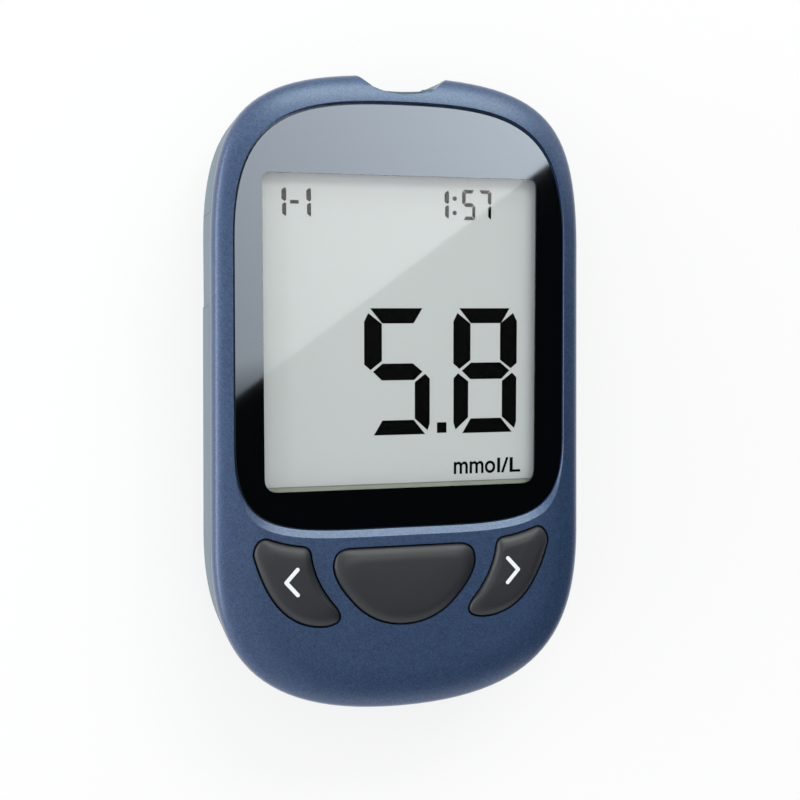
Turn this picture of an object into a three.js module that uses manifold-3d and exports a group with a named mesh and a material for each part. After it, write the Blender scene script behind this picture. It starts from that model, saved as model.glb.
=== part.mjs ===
// A blood glucose meter with a strip port, a large segment display and three keys.
// Lengths are millimetres. +X is right, +Y is towards the strip port, +Z is out of the face.
// The meter lies on its back, and the origin is in the middle of that back.
import * as THREE from 'three';
import { mergeVertices } from 'three/addons/utils/BufferGeometryUtils.js';
import Module from 'manifold-3d';

const wasm = await Module();
wasm.setup();

// Clearances
const slack = 0.3; // between pieces that are stacked or set into each other
const seatGap = 0.1; // under pieces soldered to the board
const overrun = 2; // how far a cut runs past what it cuts

// Case outline, seen from the front
const caseLength = 97.2;
const shoulderWidth = 57.6; // across the case beside the display
const hipWidth = 58.5; // across the case beside the keys, its widest place
const shoulderDrop = 27.2; // from the top end to where the straight side begins
const hipRise = 26.3; // from the bottom end to where the straight side ends
const caseTopShares = [0.834, 0.786]; // how far the top corner is pulled out, across and along
const caseBottomShares = [0.823, 0.578];

// Case walls and edges
const shellWall = 1.6;
const seamGap = 0.3; // the dark line between the two halves
const partingDrop = 3.0; // lens face down to the seam
const frontRollWidth = 4.0; // rolled edge of the front shell
const backRollWidth = 7.0; // rolled edge round the back
const backRollHeight = 8.5;
const lipWall = 0.8; // lip of the front shell, inside the rear cover
const lipDepth = 1.5;
const gripLength = 14; // shallow recess in each side
const gripDepth = 0.25;
const gripFromTop = 21;
const gripFoot = 6; // back face up to the recess

// Display lens and its pocket
const lensThickness = 1.2;
const lensGap = 0.35; // dark line round the lens
const lensDrop = 0.6; // face round the keys down to the lens face
const lensFromTop = 4.66;
const keypadLength = 28.62; // bottom end of the case to the lens
const rimAtShoulder = 3.27; // case side to lens side
const rimAtHip = 3.54;
const lensShoulderDrop = 20.42;
const lensHipRise = 12.79;
const lensTopShares = [0.633, 0.923];
const lensBottomShares = [0.723, 1.065];
const bevelRun = 1.05; // bright bevel below the lens
const ledgeThickness = 1.0; // what is left of the shell under the lens edge

// Window in the lens border, and the display behind it
const borderSide = 4.1;
const borderTop = 10.7;
const borderBottom = 5.84;
const windowMargin = 0.6; // the shell's window is this much larger
const cellMargin = 1.8; // display glass past the window
const cellThickness = 1.8;
const contactLedge = 2.6; // front glass past the rear glass, at the keys' end
const holderWall = 0.8;
const holderFloor = 0.8;
const elastomerWidth = 1.8;

// Main board
const boardThickness = 1.2;
const boardMargin = 0.8; // board edge to the lip of the front shell

// Keys
const keyProud = 0.9; // key top above the face
const keyGap = 0.25; // dark line round each key
const keyEdge = 0.6; // rounded edge of the key top
const keyTravel = 0.5;
const keypadWall = 1.8; // shell round the keys
const flangeWidth = 0.7;
const flangeThickness = 0.8;
const stemRadius = 1.6;
const middleKeyWidth = 22.7;
const middleKeyHeight = 12.4;
const middleKeyDrop = 2.66; // lens end to the key's highest point
const sideKeyHeight = 14.1;
const sideKeyMargin = 5.8; // case side to the key's outer side
const sideKeyDrop = 0.66;
const keyNesting = 1.6; // how far a side key reaches in past the middle key's widest place
const domeRadius = 3.0;
const domeHeight = 0.6;
const domeSheet = 0.2;
const domePress = 0.2; // how far a pressed key pushes its dome in

// Strip port
const notchWidth = 14.8;
const notchDepth = 3.14; // in the front shell
const landingDepth = 1.74; // in the rear cover, which shows as a landing below the notch
const landingWall = 1.2; // below the slot, before the landing slopes out
const landingRun = 8.0; // slot floor down to where the landing ends
const portWall = 1.4;
const slotWidth = 7.4;
const slotHeight = 1.1;
const connectorWidth = 11.4;
const connectorLength = 7.0;
const connectorRoof = 0.6;
const connectorStop = 1.75; // solid end that the strip comes up against
const connectorLip = 0.7; // end wall below the strip's way in
const contactWidth = 1.0;
const contactPitch = 2.0;
const contactSheet = 0.25;

// Battery bay, its door and the cells
const cellDiameter = 10.5;
const cellLength = 43.7; // without the terminal
const terminalRadius = 1.9;
const terminalHeight = 0.8;
const cellSpacing = 0.5;
const springLength = 4.4;
const springRadius = 3.0;
const springWire = 0.35; // radius of the wire
const springTurns = 4;
const plateThickness = 0.3;
const plateWidth = 8.0;
const plateHeight = 8.4;
const bayWall = 1.2;
const bayRoof = 0.8;
const bayCentre = -5.0; // lengthwise, from the middle of the case
const doorThickness = 1.8;
const doorRecess = 0.2; // door face above the back face
const doorLedge = 1.8; // what the door lies on, round the bay
const doorRim = 2.4; // thick rim round the door
const pinRadius = 0.55;
const pinLength = 1.2;
const socketGap = 0.25;
const tongueWidth = 9.0;
const tongueLength = 6.0;
const tongueSlot = 0.8;
const tongueNose = 0.6;
const thumbRadius = 7.0; // thumb recess beside the tongue
const thumbDepth = 1.1;

// Screws and their bosses
const shankRadius = 0.8;
const headRadius = 1.7;
const headHeight = 1.4;
const boreGap = 0.25;
const bossWall = 1.1;
const topBossInset = 9.8; // boss centre from the case side
const topBossFromTop = 8.64;
const bottomBossInset = 12.75;
const bottomBossFromEnd = 9.35;

// Parts on the board
const controllerSize = 8.0;
const controllerThickness = 1.4;
const smallChipLength = 5.0;
const smallChipWidth = 4.0;
const smallChipThickness = 1.2;
const crystalRadius = 1.1;
const crystalLength = 6.0;
const buzzerRadius = 4.0;
const buzzerHeight = 2.6;
const buzzerHole = 0.9;
const controllerPlace = -4.0;
const amplifierPlace = 17.0;
const crystalPlace = -15.0;
const memoryPlace = 15.0;
const buzzerPlace = -8.0;

// Heights, stacked from the back
const doorTop = doorRecess + doorThickness;
const cellBottom = doorTop + slack;
const cellAxis = cellBottom + cellDiameter / 2;
const roofBottom = cellBottom + cellDiameter + slack;
const roofTop = roofBottom + bayRoof;
const boardBottom = roofTop + slack;
const boardTop = boardBottom + boardThickness;
const holderBottom = boardTop + slack;
const displayBottom = holderBottom + holderFloor + slack;
const displayTop = displayBottom + cellThickness;
const ledgeBottom = displayTop + slack;
const ledgeTop = ledgeBottom + ledgeThickness;
const lensBottom = ledgeTop + slack;
const lensTop = lensBottom + lensThickness;
const caseHeight = lensTop + lensDrop;
const parting = lensTop - partingDrop;
const seamBottom = parting - seamGap / 2;
const seamTop = parting + seamGap / 2;
const keypadCeiling = caseHeight - keypadWall;
const flangeTop = keypadCeiling - slack;
const flangeBottom = flangeTop - flangeThickness;
const stemBottom = boardTop + seatGap + domeHeight - domePress + keyTravel;
const slotTop = parting - slack;
const slotBottom = slotTop - slotHeight;

// Places seen from the front
const caseTop = caseLength / 2;
const caseBottom = -caseLength / 2;
const lensEndTop = caseTop - lensFromTop;
const lensEndBottom = caseBottom + keypadLength;
const lensSide = shoulderWidth / 2 - rimAtShoulder;
const windowHalf = lensSide - borderSide;
const windowTop = lensEndTop - borderTop;
const windowBottom = lensEndBottom + borderBottom;
const glassHalf = windowHalf + cellMargin;
const glassTop = windowTop + cellMargin;
const glassBottom = windowBottom - cellMargin - contactLedge / 2;
const cellsHalf = cellDiameter + cellSpacing / 2;
const bayHalf = cellsHalf + slack;
const bayLength = plateThickness * 2 + slack * 2 + springLength + cellLength + terminalHeight;
const bayEndLow = bayCentre - bayLength / 2;
const bayEndHigh = bayCentre + bayLength / 2;
const doorHalf = bayHalf + doorLedge - slack;
const doorAxisY = bayEndLow - doorLedge + slack + doorThickness / 2;
const doorAxisZ = doorRecess + doorThickness / 2;
const doorEndHigh = bayEndHigh + doorLedge - slack;
const portHalf = notchWidth / 2 + portWall;
const portInner = caseTop - notchDepth - portWall;
const lipOuter = shellWall + slack;
const lipInner = lipOuter + lipWall;
const shankBore = shankRadius + boreGap;
const headBore = headRadius + boreGap;
const bossRadius = headBore + bossWall;
const pilotBossRadius = shankBore + bossWall;
const screwSeat = boardBottom - bossWall * 2;
const screwEnd = ledgeBottom - slack * 2;

// Each key's outline in shares of its own width and height, from its outer or left lower corner.
// A pair of entries is a curve's pull point and its end.
const sideKeyStartShare = [0.177, 1.0];
const sideKeyShares = [
  [[0.369, 0.926], [0.56, 0.905]],
  [[0.64, 0.888], [0.655, 0.8]],
  [[0.69, 0.5], [0.93, 0.225]],
  [[1.07, 0.03], [0.8, 0.003]],
  [[0.219, 0.0], [0.001, 0.817]],
  [[0.0, 0.986], [0.177, 1.0]],
];
const middleKeyStartShare = [0.125, 1.0];
const middleKeyShares = [
  [[0.5, 1.0], [0.875, 1.0]],
  [[1.0, 1.0], [1.0, 0.768]],
  [[0.993, 0.585], [0.892, 0.369]],
  [[0.738, 0.0], [0.5, 0.0]],
  [[0.262, 0.0], [0.108, 0.369]],
  [[0.007, 0.585], [0.0, 0.768]],
  [[0.0, 1.0], [0.125, 1.0]],
];
const sideStemShares = [0.46, 0.52]; // where a key's stem and dome sit
const middleStemShare = 0.54;
const notchStraightShares = [0.635, 0.68]; // where the notch's straight ends meet its arc
const landingFlatShare = 0.39;
const springTaperShare = 0.35; // how much narrower the coil is at the cell
const socketShare = 0.55; // hexagon in the screw's head
const domeShares = [0.62, 0.72]; // a point on the dome's curve, out and up
const leafShares = [[0.35, 0], [0.7, 1], [0.95, 0]]; // contact leaf, along and up to the strip

// Counts
const mitreLimit = 0.5; // sharper corners are offset no further
const endSteps = 14; // points along each rounded end of the case and the lens
const rollSteps = 5;
const cornerSteps = 4;
const roundSides = 20;
const coilSteps = 10;
const wireSides = 5;
const socketSides = 6;

// Finishes
function finish(color, roughness, metalness) {
  return new THREE.MeshStandardMaterial({ color, roughness, metalness });
}

const blueShell = finish(0x54698a, 0.42, 0.35);
const greyShell = finish(0x97a7b2, 0.5, 0.1);
const clearLens = finish(0x141518, 0.08, 0);
const displayGlass = finish(0xc4ccca, 0.3, 0);
const charcoalKey = finish(0x3e3f43, 0.55, 0);
const blackPlastic = finish(0x1c1c1e, 0.5, 0);
const whitePlastic = finish(0xe6e6e0, 0.5, 0);
const greenBoard = finish(0x1f6b45, 0.45, 0);
const springSteel = finish(0xc0c2c4, 0.3, 1);
const goldPlate = finish(0xd2a84c, 0.3, 1);
const pinkRubber = finish(0xd08a92, 0.7, 0);
const cellJacket = finish(0x8c2f2c, 0.4, 0.2);

// A closed solid that can be joined and cut
function toSolid(source) {
  const bare = source.clone();
  bare.deleteAttribute('normal');
  if (bare.attributes.uv) {
    bare.deleteAttribute('uv');
  }
  const merged = mergeVertices(bare);
  return new wasm.Manifold(new wasm.Mesh({
    numProp: 3,
    vertProperties: new Float32Array(merged.attributes.position.array),
    triVerts: new Uint32Array(merged.index.array),
  }));
}

function slab([left, right], [near, far], [low, high]) {
  const box = new THREE.BoxGeometry(right - left, far - near, high - low);
  box.translate((left + right) / 2, (near + far) / 2, (low + high) / 2);
  return toSolid(box);
}

function post(radius, x, y, low, high, sides = roundSides) {
  const cylinder = new THREE.CylinderGeometry(radius, radius, high - low, sides);
  cylinder.rotateX(Math.PI / 2);
  cylinder.translate(x, y, (low + high) / 2);
  return toSolid(cylinder);
}

function rodAcross(radius, left, right, y, z) {
  const cylinder = new THREE.CylinderGeometry(radius, radius, right - left, roundSides);
  cylinder.rotateZ(Math.PI / 2);
  cylinder.translate((left + right) / 2, y, z);
  return toSolid(cylinder);
}

function prism(loop, low, high) {
  const straight = new THREE.ExtrudeGeometry(new THREE.Shape(loop), {
    depth: high - low, bevelEnabled: false,
  });
  straight.translate(0, 0, low);
  return toSolid(straight);
}

// The angles of a rounded edge, from its start to a quarter turn
function quarterTurn(steps) {
  return Array.from({ length: steps + 1 }, (unused, step) => step / steps * Math.PI / 2);
}

// A solid through loops of equal point counts, one at each height
function loft(loops, heights) {
  const count = loops[0].length;
  const last = (loops.length - 1) * count;
  const positions = loops.flatMap((loop, level) => (
    loop.flatMap((point) => [point.x, point.y, heights[level]])
  ));
  const index = [];
  for (const [a, b, c] of THREE.ShapeUtils.triangulateShape(loops[0], [])) {
    index.push(c, b, a);
  }
  for (const [a, b, c] of THREE.ShapeUtils.triangulateShape(loops[loops.length - 1], [])) {
    index.push(last + a, last + b, last + c);
  }
  for (let level = 0; level < loops.length - 1; level += 1) {
    for (let here = 0; here < count; here += 1) {
      const next = (here + 1) % count;
      const below = level * count;
      const above = below + count;
      index.push(below + here, below + next, above + next);
      index.push(below + here, above + next, above + here);
    }
  }
  const skin = new THREE.BufferGeometry();
  skin.setAttribute('position', new THREE.Float32BufferAttribute(positions, 3));
  skin.setIndex(index);
  return toSolid(skin);
}

// Loops run anticlockwise and don't repeat their first point
function tidyLoop(points) {
  const loop = points.slice(0, -1);
  return THREE.ShapeUtils.isClockWise(loop) ? loop.reverse() : loop;
}

// The loop moved inwards, or outwards where the distance is negative
function insetLoop(loop, distance) {
  return loop.map((point, here) => {
    const before = loop[(here + loop.length - 1) % loop.length];
    const after = loop[(here + 1) % loop.length];
    const arriving = point.clone().sub(before).normalize();
    const leaving = after.clone().sub(point).normalize();
    const along = arriving.clone().add(leaving).normalize();
    const lean = Math.max(along.dot(arriving), mitreLimit);
    return new THREE.Vector2(point.x - along.y * distance / lean, point.y + along.x * distance / lean);
  });
}

// Two rounded ends joined by near-straight sides, alike left and right
function barrelLoop(top, bottom, shoulder, hip, drop, rise, topShares, bottomShares) {
  const shape = new THREE.Shape();
  const shoulderY = top - drop;
  const hipY = bottom + rise;
  const topPull = [shoulder * topShares[0], shoulderY + drop * topShares[1]];
  const bottomPull = [hip * bottomShares[0], hipY - rise * bottomShares[1]];
  shape.moveTo(0, top);
  shape.bezierCurveTo(-topPull[0], top, -shoulder, topPull[1], -shoulder, shoulderY);
  shape.lineTo(-hip, hipY);
  shape.bezierCurveTo(-hip, bottomPull[1], -bottomPull[0], bottom, 0, bottom);
  shape.bezierCurveTo(bottomPull[0], bottom, hip, bottomPull[1], hip, hipY);
  shape.lineTo(shoulder, shoulderY);
  shape.bezierCurveTo(shoulder, topPull[1], topPull[0], top, 0, top);
  return tidyLoop(shape.getPoints(endSteps));
}

const caseLoop = barrelLoop(
  caseTop, caseBottom, shoulderWidth / 2, hipWidth / 2,
  shoulderDrop, hipRise, caseTopShares, caseBottomShares,
);
const lensLoop = barrelLoop(
  lensEndTop, lensEndBottom, lensSide, hipWidth / 2 - rimAtHip,
  lensShoulderDrop, lensHipRise, lensTopShares, lensBottomShares,
);

// A key hole's outline from its table of shares
function keyHole(startShare, curveShares, width, height, left, bottom) {
  const place = ([across, up]) => [left + across * width, bottom + up * height];
  const shape = new THREE.Shape();
  shape.moveTo(...place(startShare));
  for (const [pull, end] of curveShares) {
    shape.quadraticCurveTo(...place(pull), ...place(end));
  }
  return tidyLoop(shape.getPoints(cornerSteps));
}

const mirrored = (loop) => loop.map((point) => new THREE.Vector2(-point.x, point.y)).reverse();
const sideKeyBottom = lensEndBottom - sideKeyDrop - sideKeyHeight;
const sideKeyLeft = sideKeyMargin - hipWidth / 2;
const sideKeyWidth = (hipWidth - middleKeyWidth) / 2 - sideKeyMargin + keyNesting;
const leftHole = keyHole(
  sideKeyStartShare, sideKeyShares, sideKeyWidth, sideKeyHeight, sideKeyLeft, sideKeyBottom,
);
const middleKeyBottom = lensEndBottom - middleKeyDrop - middleKeyHeight;
const middleHole = keyHole(
  middleKeyStartShare, middleKeyShares, middleKeyWidth, middleKeyHeight, -middleKeyWidth / 2, middleKeyBottom,
);
const keyHoles = [leftHole, middleHole, mirrored(leftHole)];
const sideKeyX = sideKeyLeft + sideKeyWidth * sideStemShares[0];
const sideKeyY = sideKeyBottom + sideKeyHeight * sideStemShares[1];
const middleKeyY = middleKeyBottom + middleKeyHeight * middleStemShare;
const keySpots = [[sideKeyX, sideKeyY], [0, middleKeyY], [-sideKeyX, sideKeyY]];

const topBossX = shoulderWidth / 2 - topBossInset;
const topBossY = caseTop - topBossFromTop;
const bottomBossX = hipWidth / 2 - bottomBossInset;
const bottomBossY = caseBottom + bottomBossFromEnd;
const bossSpots = [
  [-topBossX, topBossY], [topBossX, topBossY], [-bottomBossX, bottomBossY], [bottomBossX, bottomBossY],
];

const model = new THREE.Group();

function addPart(name, solid, material, x = 0, y = 0, z = 0) {
  const { vertProperties, triVerts } = solid.getMesh();
  const skin = new THREE.BufferGeometry();
  skin.setAttribute('position', new THREE.BufferAttribute(vertProperties, 3));
  skin.setIndex(new THREE.BufferAttribute(triVerts, 1));
  skin.computeVertexNormals();
  const mesh = new THREE.Mesh(skin, material);
  mesh.name = name;
  mesh.position.set(x, y, z);
  model.add(mesh);
  return mesh;
}

// The strip notch: straight ends that run into an arc, cut from above the top end
function notchCut(low, high) {
  const half = notchWidth / 2;
  const cornerX = half * notchStraightShares[0];
  const cornerY = caseTop - notchDepth * notchStraightShares[1];
  const flare = overrun * (half - cornerX) / (caseTop - cornerY);
  const shape = new THREE.Shape();
  shape.moveTo(-half - flare, caseTop + overrun);
  shape.lineTo(-cornerX, cornerY);
  shape.quadraticCurveTo(0, 2 * (caseTop - notchDepth) - cornerY, cornerX, cornerY);
  shape.lineTo(half + flare, caseTop + overrun);
  shape.closePath();
  return prism(tidyLoop(shape.getPoints(rollSteps * 2)), low, high);
}

// The landing: a flat with sloping ends, which runs out into the cover's end further down
function landingCut() {
  const half = notchWidth / 2;
  const flat = half * landingFlatShare;
  const flare = overrun * (half - flat) / landingDepth;
  const corners = [
    [-half - flare, caseTop + overrun], [-flat, caseTop - landingDepth],
    [flat, caseTop - landingDepth], [half + flare, caseTop + overrun],
  ];
  const full = corners.map(([x, y]) => new THREE.Vector2(x, y));
  const clear = corners.map(([x, y]) => new THREE.Vector2(x, y + landingDepth + slack));
  return loft([clear, full, full], [slotBottom - landingRun, slotBottom - landingWall, seamBottom + overrun]);
}

// Front half of the case: rolled edge, lens pocket, window, key holes, bosses and lip
function frontShell() {
  const turns = quarterTurn(rollSteps);
  const rollHeight = caseHeight - seamTop;
  let shell = loft(
    turns.map((turn) => insetLoop(caseLoop, frontRollWidth * (1 - Math.cos(turn)))),
    turns.map((turn) => seamTop + rollHeight * Math.sin(turn)),
  );
  const outside = shell;
  shell = shell.subtract(prism(insetLoop(caseLoop, lipInner), seamTop - overrun, ledgeBottom));
  const keypadTop = lensEndBottom - lensGap - shellWall;
  const keypadRoom = slab([-hipWidth, hipWidth], [caseBottom, keypadTop], [parting, keypadCeiling]);
  const face = prism(insetLoop(caseLoop, frontRollWidth), parting, caseHeight);
  shell = shell.subtract(keypadRoom.intersect(face));
  const portBlock = slab(
    [-portHalf, portHalf], [portInner, caseTop], [seamTop, ledgeBottom + ledgeThickness / 2],
  );
  shell = shell.add(portBlock.intersect(outside));

  const lip = prism(insetLoop(caseLoop, lipOuter), seamBottom - lipDepth, seamTop + ledgeThickness / 2)
    .subtract(prism(insetLoop(caseLoop, lipInner), seamBottom - lipDepth - overrun, caseHeight))
    .subtract(slab(
      [-portHalf - slack, portHalf + slack],
      [caseTop - notchDepth - lipInner - slack, caseTop],
      [seamBottom - lipDepth - overrun, seamTop],
    ));
  shell = shell.add(lip);

  for (const hole of keyHoles) {
    shell = shell.subtract(prism(insetLoop(hole, -flangeWidth - slack), parting, keypadCeiling));
    shell = shell.subtract(prism(hole, parting, caseHeight + overrun));
  }
  const pocket = insetLoop(lensLoop, -lensGap);
  shell = shell.subtract(prism(pocket, ledgeTop, caseHeight + overrun));
  const slide = bevelRun * (lensDrop + overrun) / lensDrop;
  const lowered = pocket.map((point) => new THREE.Vector2(point.x, point.y - slide));
  shell = shell.subtract(loft([pocket, lowered], [lensTop, caseHeight + overrun]));
  shell = shell.subtract(slab(
    [-windowHalf - windowMargin, windowHalf + windowMargin],
    [windowBottom - windowMargin, windowTop + windowMargin],
    [parting, lensTop],
  ));
  shell = shell.subtract(notchCut(seamBottom - lipDepth - overrun, caseHeight + overrun));
  for (const [x, y] of bossSpots) {
    const bossTop = y > 0 ? ledgeBottom : keypadCeiling;
    shell = shell.add(post(pilotBossRadius, x, y, boardBottom + slack, bossTop + ledgeThickness / 2));
    shell = shell.subtract(post(shankBore, x, y, boardBottom, screwEnd + slack));
  }
  addPart('front_shell', shell, blueShell);
}

// The rear cover's outline rolled in towards the back, by a wall's thickness where asked
function coverLoft(wall, top) {
  const turns = quarterTurn(rollSteps);
  const loops = turns.map((turn) => insetLoop(caseLoop, wall + backRollWidth * (1 - Math.sin(turn))));
  const heights = turns.map((turn) => wall + (backRollHeight - wall) * (1 - Math.cos(turn)));
  return loft([...loops, insetLoop(caseLoop, wall)], [...heights, top]);
}

// Rear half of the case: rolled back, grips, strip landing, battery bay and screw bosses
function rearCover() {
  const outside = coverLoft(0, seamBottom);
  let cover = outside.subtract(coverLoft(shellWall, seamBottom + overrun));

  const portFoot = slotBottom - landingRun;
  const portBlock = slab([-portHalf, portHalf], [portInner, caseTop], [portFoot, seamBottom]);
  cover = cover.add(portBlock.intersect(outside));
  cover = cover.subtract(landingCut());
  cover = cover.subtract(slab(
    [-slotWidth / 2, slotWidth / 2],
    [portInner - overrun, caseTop + overrun],
    [slotBottom, seamBottom + overrun],
  ));

  for (const side of [-1, 1]) {
    const edge = side * shoulderWidth / 2;
    const across = [edge - side * gripDepth, edge + side * overrun].sort((a, b) => a - b);
    const along = [caseTop - gripFromTop - gripLength, caseTop - gripFromTop];
    cover = cover.subtract(slab(across, along, [gripFoot, seamBottom + overrun]));
  }

  const rimHalf = doorHalf + slack + doorRim;
  const rimLow = bayEndLow - doorLedge - doorRim;
  const rimHigh = bayEndHigh + doorLedge + doorRim;
  const rimTop = doorTop + slack + bayWall;
  cover = cover.add(slab([-rimHalf, rimHalf], [rimLow, rimHigh], [0, rimTop]).intersect(outside));
  cover = cover.add(slab(
    [-bayHalf - bayWall, bayHalf + bayWall], [bayEndLow - bayWall, bayEndHigh + bayWall], [doorTop, roofTop],
  ));
  cover = cover.subtract(slab([-bayHalf, bayHalf], [bayEndLow, bayEndHigh], [-overrun, roofBottom]));
  cover = cover.subtract(slab(
    [-bayHalf - doorLedge, bayHalf + doorLedge], [bayEndLow - doorLedge, bayEndHigh + doorLedge],
    [-overrun, doorTop + slack],
  ));
  const socketReach = doorHalf + pinLength + slack;
  cover = cover.subtract(rodAcross(pinRadius + socketGap, -socketReach, socketReach, doorAxisY, doorAxisZ));
  cover = cover.subtract(post(thumbRadius, 0, doorEndHigh + slack, -overrun, thumbDepth));
  cover = cover.subtract(slab(
    [-tongueWidth / 2 - slack, tongueWidth / 2 + slack],
    [doorEndHigh, doorEndHigh + tongueNose + slack * 2],
    [-overrun, doorTop + slack],
  ));
  for (const x of [-cellsHalf / 2, cellsHalf / 2]) {
    for (const y of [bayEndLow + seatGap + plateThickness / 2, bayEndHigh - seatGap - plateThickness / 2]) {
      cover = cover.subtract(slab(
        [x - plateWidth / 4 - slack, x + plateWidth / 4 + slack],
        [y - plateThickness / 2 - slack, y + plateThickness / 2 + slack],
        [roofBottom - overrun / 2, roofTop + overrun],
      ));
    }
  }

  for (const [x, y] of bossSpots) {
    cover = cover.add(post(bossRadius, x, y, shellWall / 2, boardBottom - slack).intersect(outside));
    cover = cover.subtract(post(shankBore, x, y, -overrun, boardBottom + overrun));
    cover = cover.subtract(post(headBore, x, y, -overrun, screwSeat));
  }
  addPart('rear_cover', cover, greyShell);
}

// Clear window, flat, dropped into the shell's pocket
function displayLens() {
  addPart('display_lens', prism(lensLoop, lensBottom, lensTop), clearLens);
}

// Display glass: the front glass runs past the rear one, where the rubber strip meets it
function displayGlasses() {
  const middle = (displayBottom + displayTop) / 2;
  const front = slab([-glassHalf, glassHalf], [glassBottom, glassTop], [middle, displayTop]);
  const rear = slab([-glassHalf, glassHalf], [glassBottom + contactLedge, glassTop], [displayBottom, middle]);
  addPart('lcd_cell', front.add(rear), displayGlass);
}

function displayHolder() {
  const inner = glassHalf + slack;
  const outer = inner + holderWall;
  const low = glassBottom - slack;
  const high = glassTop + slack;
  let holder = slab([-outer, outer], [low - holderWall, high + holderWall], [holderBottom, displayTop]);
  const tray = slab([-inner, inner], [low, high], [holderBottom + holderFloor, displayTop + overrun]);
  holder = holder.subtract(tray);
  const slotHalf = elastomerWidth / 2 + slack;
  const slotY = glassBottom + contactLedge / 2;
  holder = holder.subtract(slab(
    [-glassHalf + holderWall, glassHalf - holderWall], [slotY - slotHalf, slotY + slotHalf],
    [holderBottom - overrun, displayTop],
  ));
  addPart('lcd_holder', holder, whitePlastic);
}

// Striped rubber strip, squeezed between the glass and the board
function elastomerStrip() {
  const half = glassHalf - holderWall - slack;
  const y = glassBottom + contactLedge / 2;
  const bottom = boardTop + seatGap;
  const top = (displayBottom + displayTop) / 2 - seatGap;
  const strip = slab([-half, half], [-elastomerWidth / 2, elastomerWidth / 2], [0, top - bottom]);
  addPart('elastomer_strip', strip, pinkRubber, 0, y, bottom);
}

// Board, cut clear of the screw bosses
function mainBoard() {
  let board = prism(insetLoop(caseLoop, lipInner + boardMargin), boardBottom, boardTop);
  board = board.subtract(slab([-portHalf, portHalf], [portInner - slack, caseTop], [0, caseHeight]));
  for (const [x, y] of bossSpots) {
    board = board.subtract(post(bossRadius + slack, x, y, boardBottom - overrun, boardTop + overrun));
  }
  addPart('main_board', board, greenBoard);
}

// Chips, crystal and buzzer hang under the board, midway from the battery bay to the board's side
function boardParts() {
  const under = boardBottom - seatGap;
  const boardHalf = hipWidth / 2 - lipInner - boardMargin;
  const besideBay = (bayHalf + bayWall + boardHalf) / 2;
  const chip = (length, width, thickness) => slab(
    [-length / 2, length / 2], [-width / 2, width / 2], [-thickness, 0],
  );
  const controller = chip(controllerSize, controllerSize, controllerThickness);
  addPart('controller_chip', controller, blackPlastic, besideBay, controllerPlace, under);
  const smallChip = chip(smallChipLength, smallChipWidth, smallChipThickness);
  addPart('amplifier_chip', smallChip, blackPlastic, besideBay, amplifierPlace, under);
  addPart('memory_chip', smallChip, blackPlastic, -besideBay, memoryPlace, under);
  const crystal = rodAcross(crystalRadius, -crystalLength / 2, crystalLength / 2, 0, -crystalRadius);
  addPart('crystal_can', crystal, springSteel, besideBay, crystalPlace, under);
  const buzzer = post(buzzerRadius, 0, 0, -buzzerHeight, 0)
    .subtract(post(buzzerHole, 0, 0, -buzzerHeight - overrun, -buzzerHeight / 2));
  addPart('buzzer', buzzer, blackPlastic, -besideBay, buzzerPlace, under);
}

// Housing that takes the test strip, on the board behind the slot
function stripConnector() {
  const back = portInner - slack - connectorLength;
  const bottom = boardTop + seatGap - slotTop;
  const roof = connectorRoof;
  let housing = slab([-connectorWidth / 2, connectorWidth / 2], [0, connectorLength], [bottom, roof]);
  housing = housing.subtract(slab(
    [-slotWidth / 2, slotWidth / 2], [connectorStop, connectorLength + overrun], [-slotHeight, 0],
  ));
  const grooveHalf = contactPitch + contactWidth / 2 + slack;
  const grooveFloor = bottom + contactSheet;
  housing = housing.subtract(slab(
    [-grooveHalf, grooveHalf], [-overrun, connectorLength - connectorLip], [grooveFloor, -slotHeight / 2],
  ));
  addPart('strip_connector', housing, blackPlastic, 0, back, slotTop);
}

// Leaf contact: a tail to the board, a flat run and a hump that presses on the strip
function stripContact(name, x) {
  const back = portInner - slack - connectorLength;
  const floor = boardTop + seatGap + contactSheet * 2 + slack;
  const hump = slotBottom - floor + contactSheet;
  const tail = floor - boardTop - seatGap;
  const run = connectorLength - connectorLip * 2;
  const heel = -slack - contactSheet;
  const leafRoute = leafShares.map(([along, up]) => new THREE.Vector2(run * along, hump * up));
  const centre = [new THREE.Vector2(heel, -tail), new THREE.Vector2(heel, 0), ...leafRoute];
  const normalAt = (here) => {
    const before = centre[Math.max(here - 1, 0)];
    const after = centre[Math.min(here + 1, centre.length - 1)];
    const along = after.clone().sub(before).normalize();
    return new THREE.Vector2(-along.y, along.x).multiplyScalar(contactSheet / 2);
  };
  const upper = centre.map((point, here) => point.clone().add(normalAt(here)));
  const lower = centre.map((point, here) => point.clone().sub(normalAt(here))).reverse();
  const leaf = new THREE.ExtrudeGeometry(new THREE.Shape([...upper, ...lower]), {
    depth: contactWidth, bevelEnabled: false,
  });
  leaf.rotateX(Math.PI / 2);
  leaf.rotateZ(Math.PI / 2);
  leaf.translate(-contactWidth / 2, 0, 0);
  addPart(name, toSolid(leaf), goldPlate, x, back, floor);
}

// A key: rounded top, shaft through the shell, flange below it and a stem over its dome
function key(name, hole, [x, y]) {
  const outline = insetLoop(hole, keyGap).map((point) => new THREE.Vector2(point.x - x, point.y - y));
  const top = caseHeight + keyProud;
  const turns = quarterTurn(cornerSteps);
  let cap = loft(
    [outline, ...turns.map((turn) => insetLoop(outline, keyEdge * (1 - Math.cos(turn))))],
    [flangeTop - flangeThickness / 2, ...turns.map((turn) => top - keyEdge * (1 - Math.sin(turn)))],
  );
  cap = cap.add(prism(insetLoop(outline, -flangeWidth), flangeBottom, flangeTop));
  cap = cap.add(post(stemRadius, 0, 0, stemBottom, flangeTop));
  addPart(name, cap, charcoalKey, x, y);
}

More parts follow.
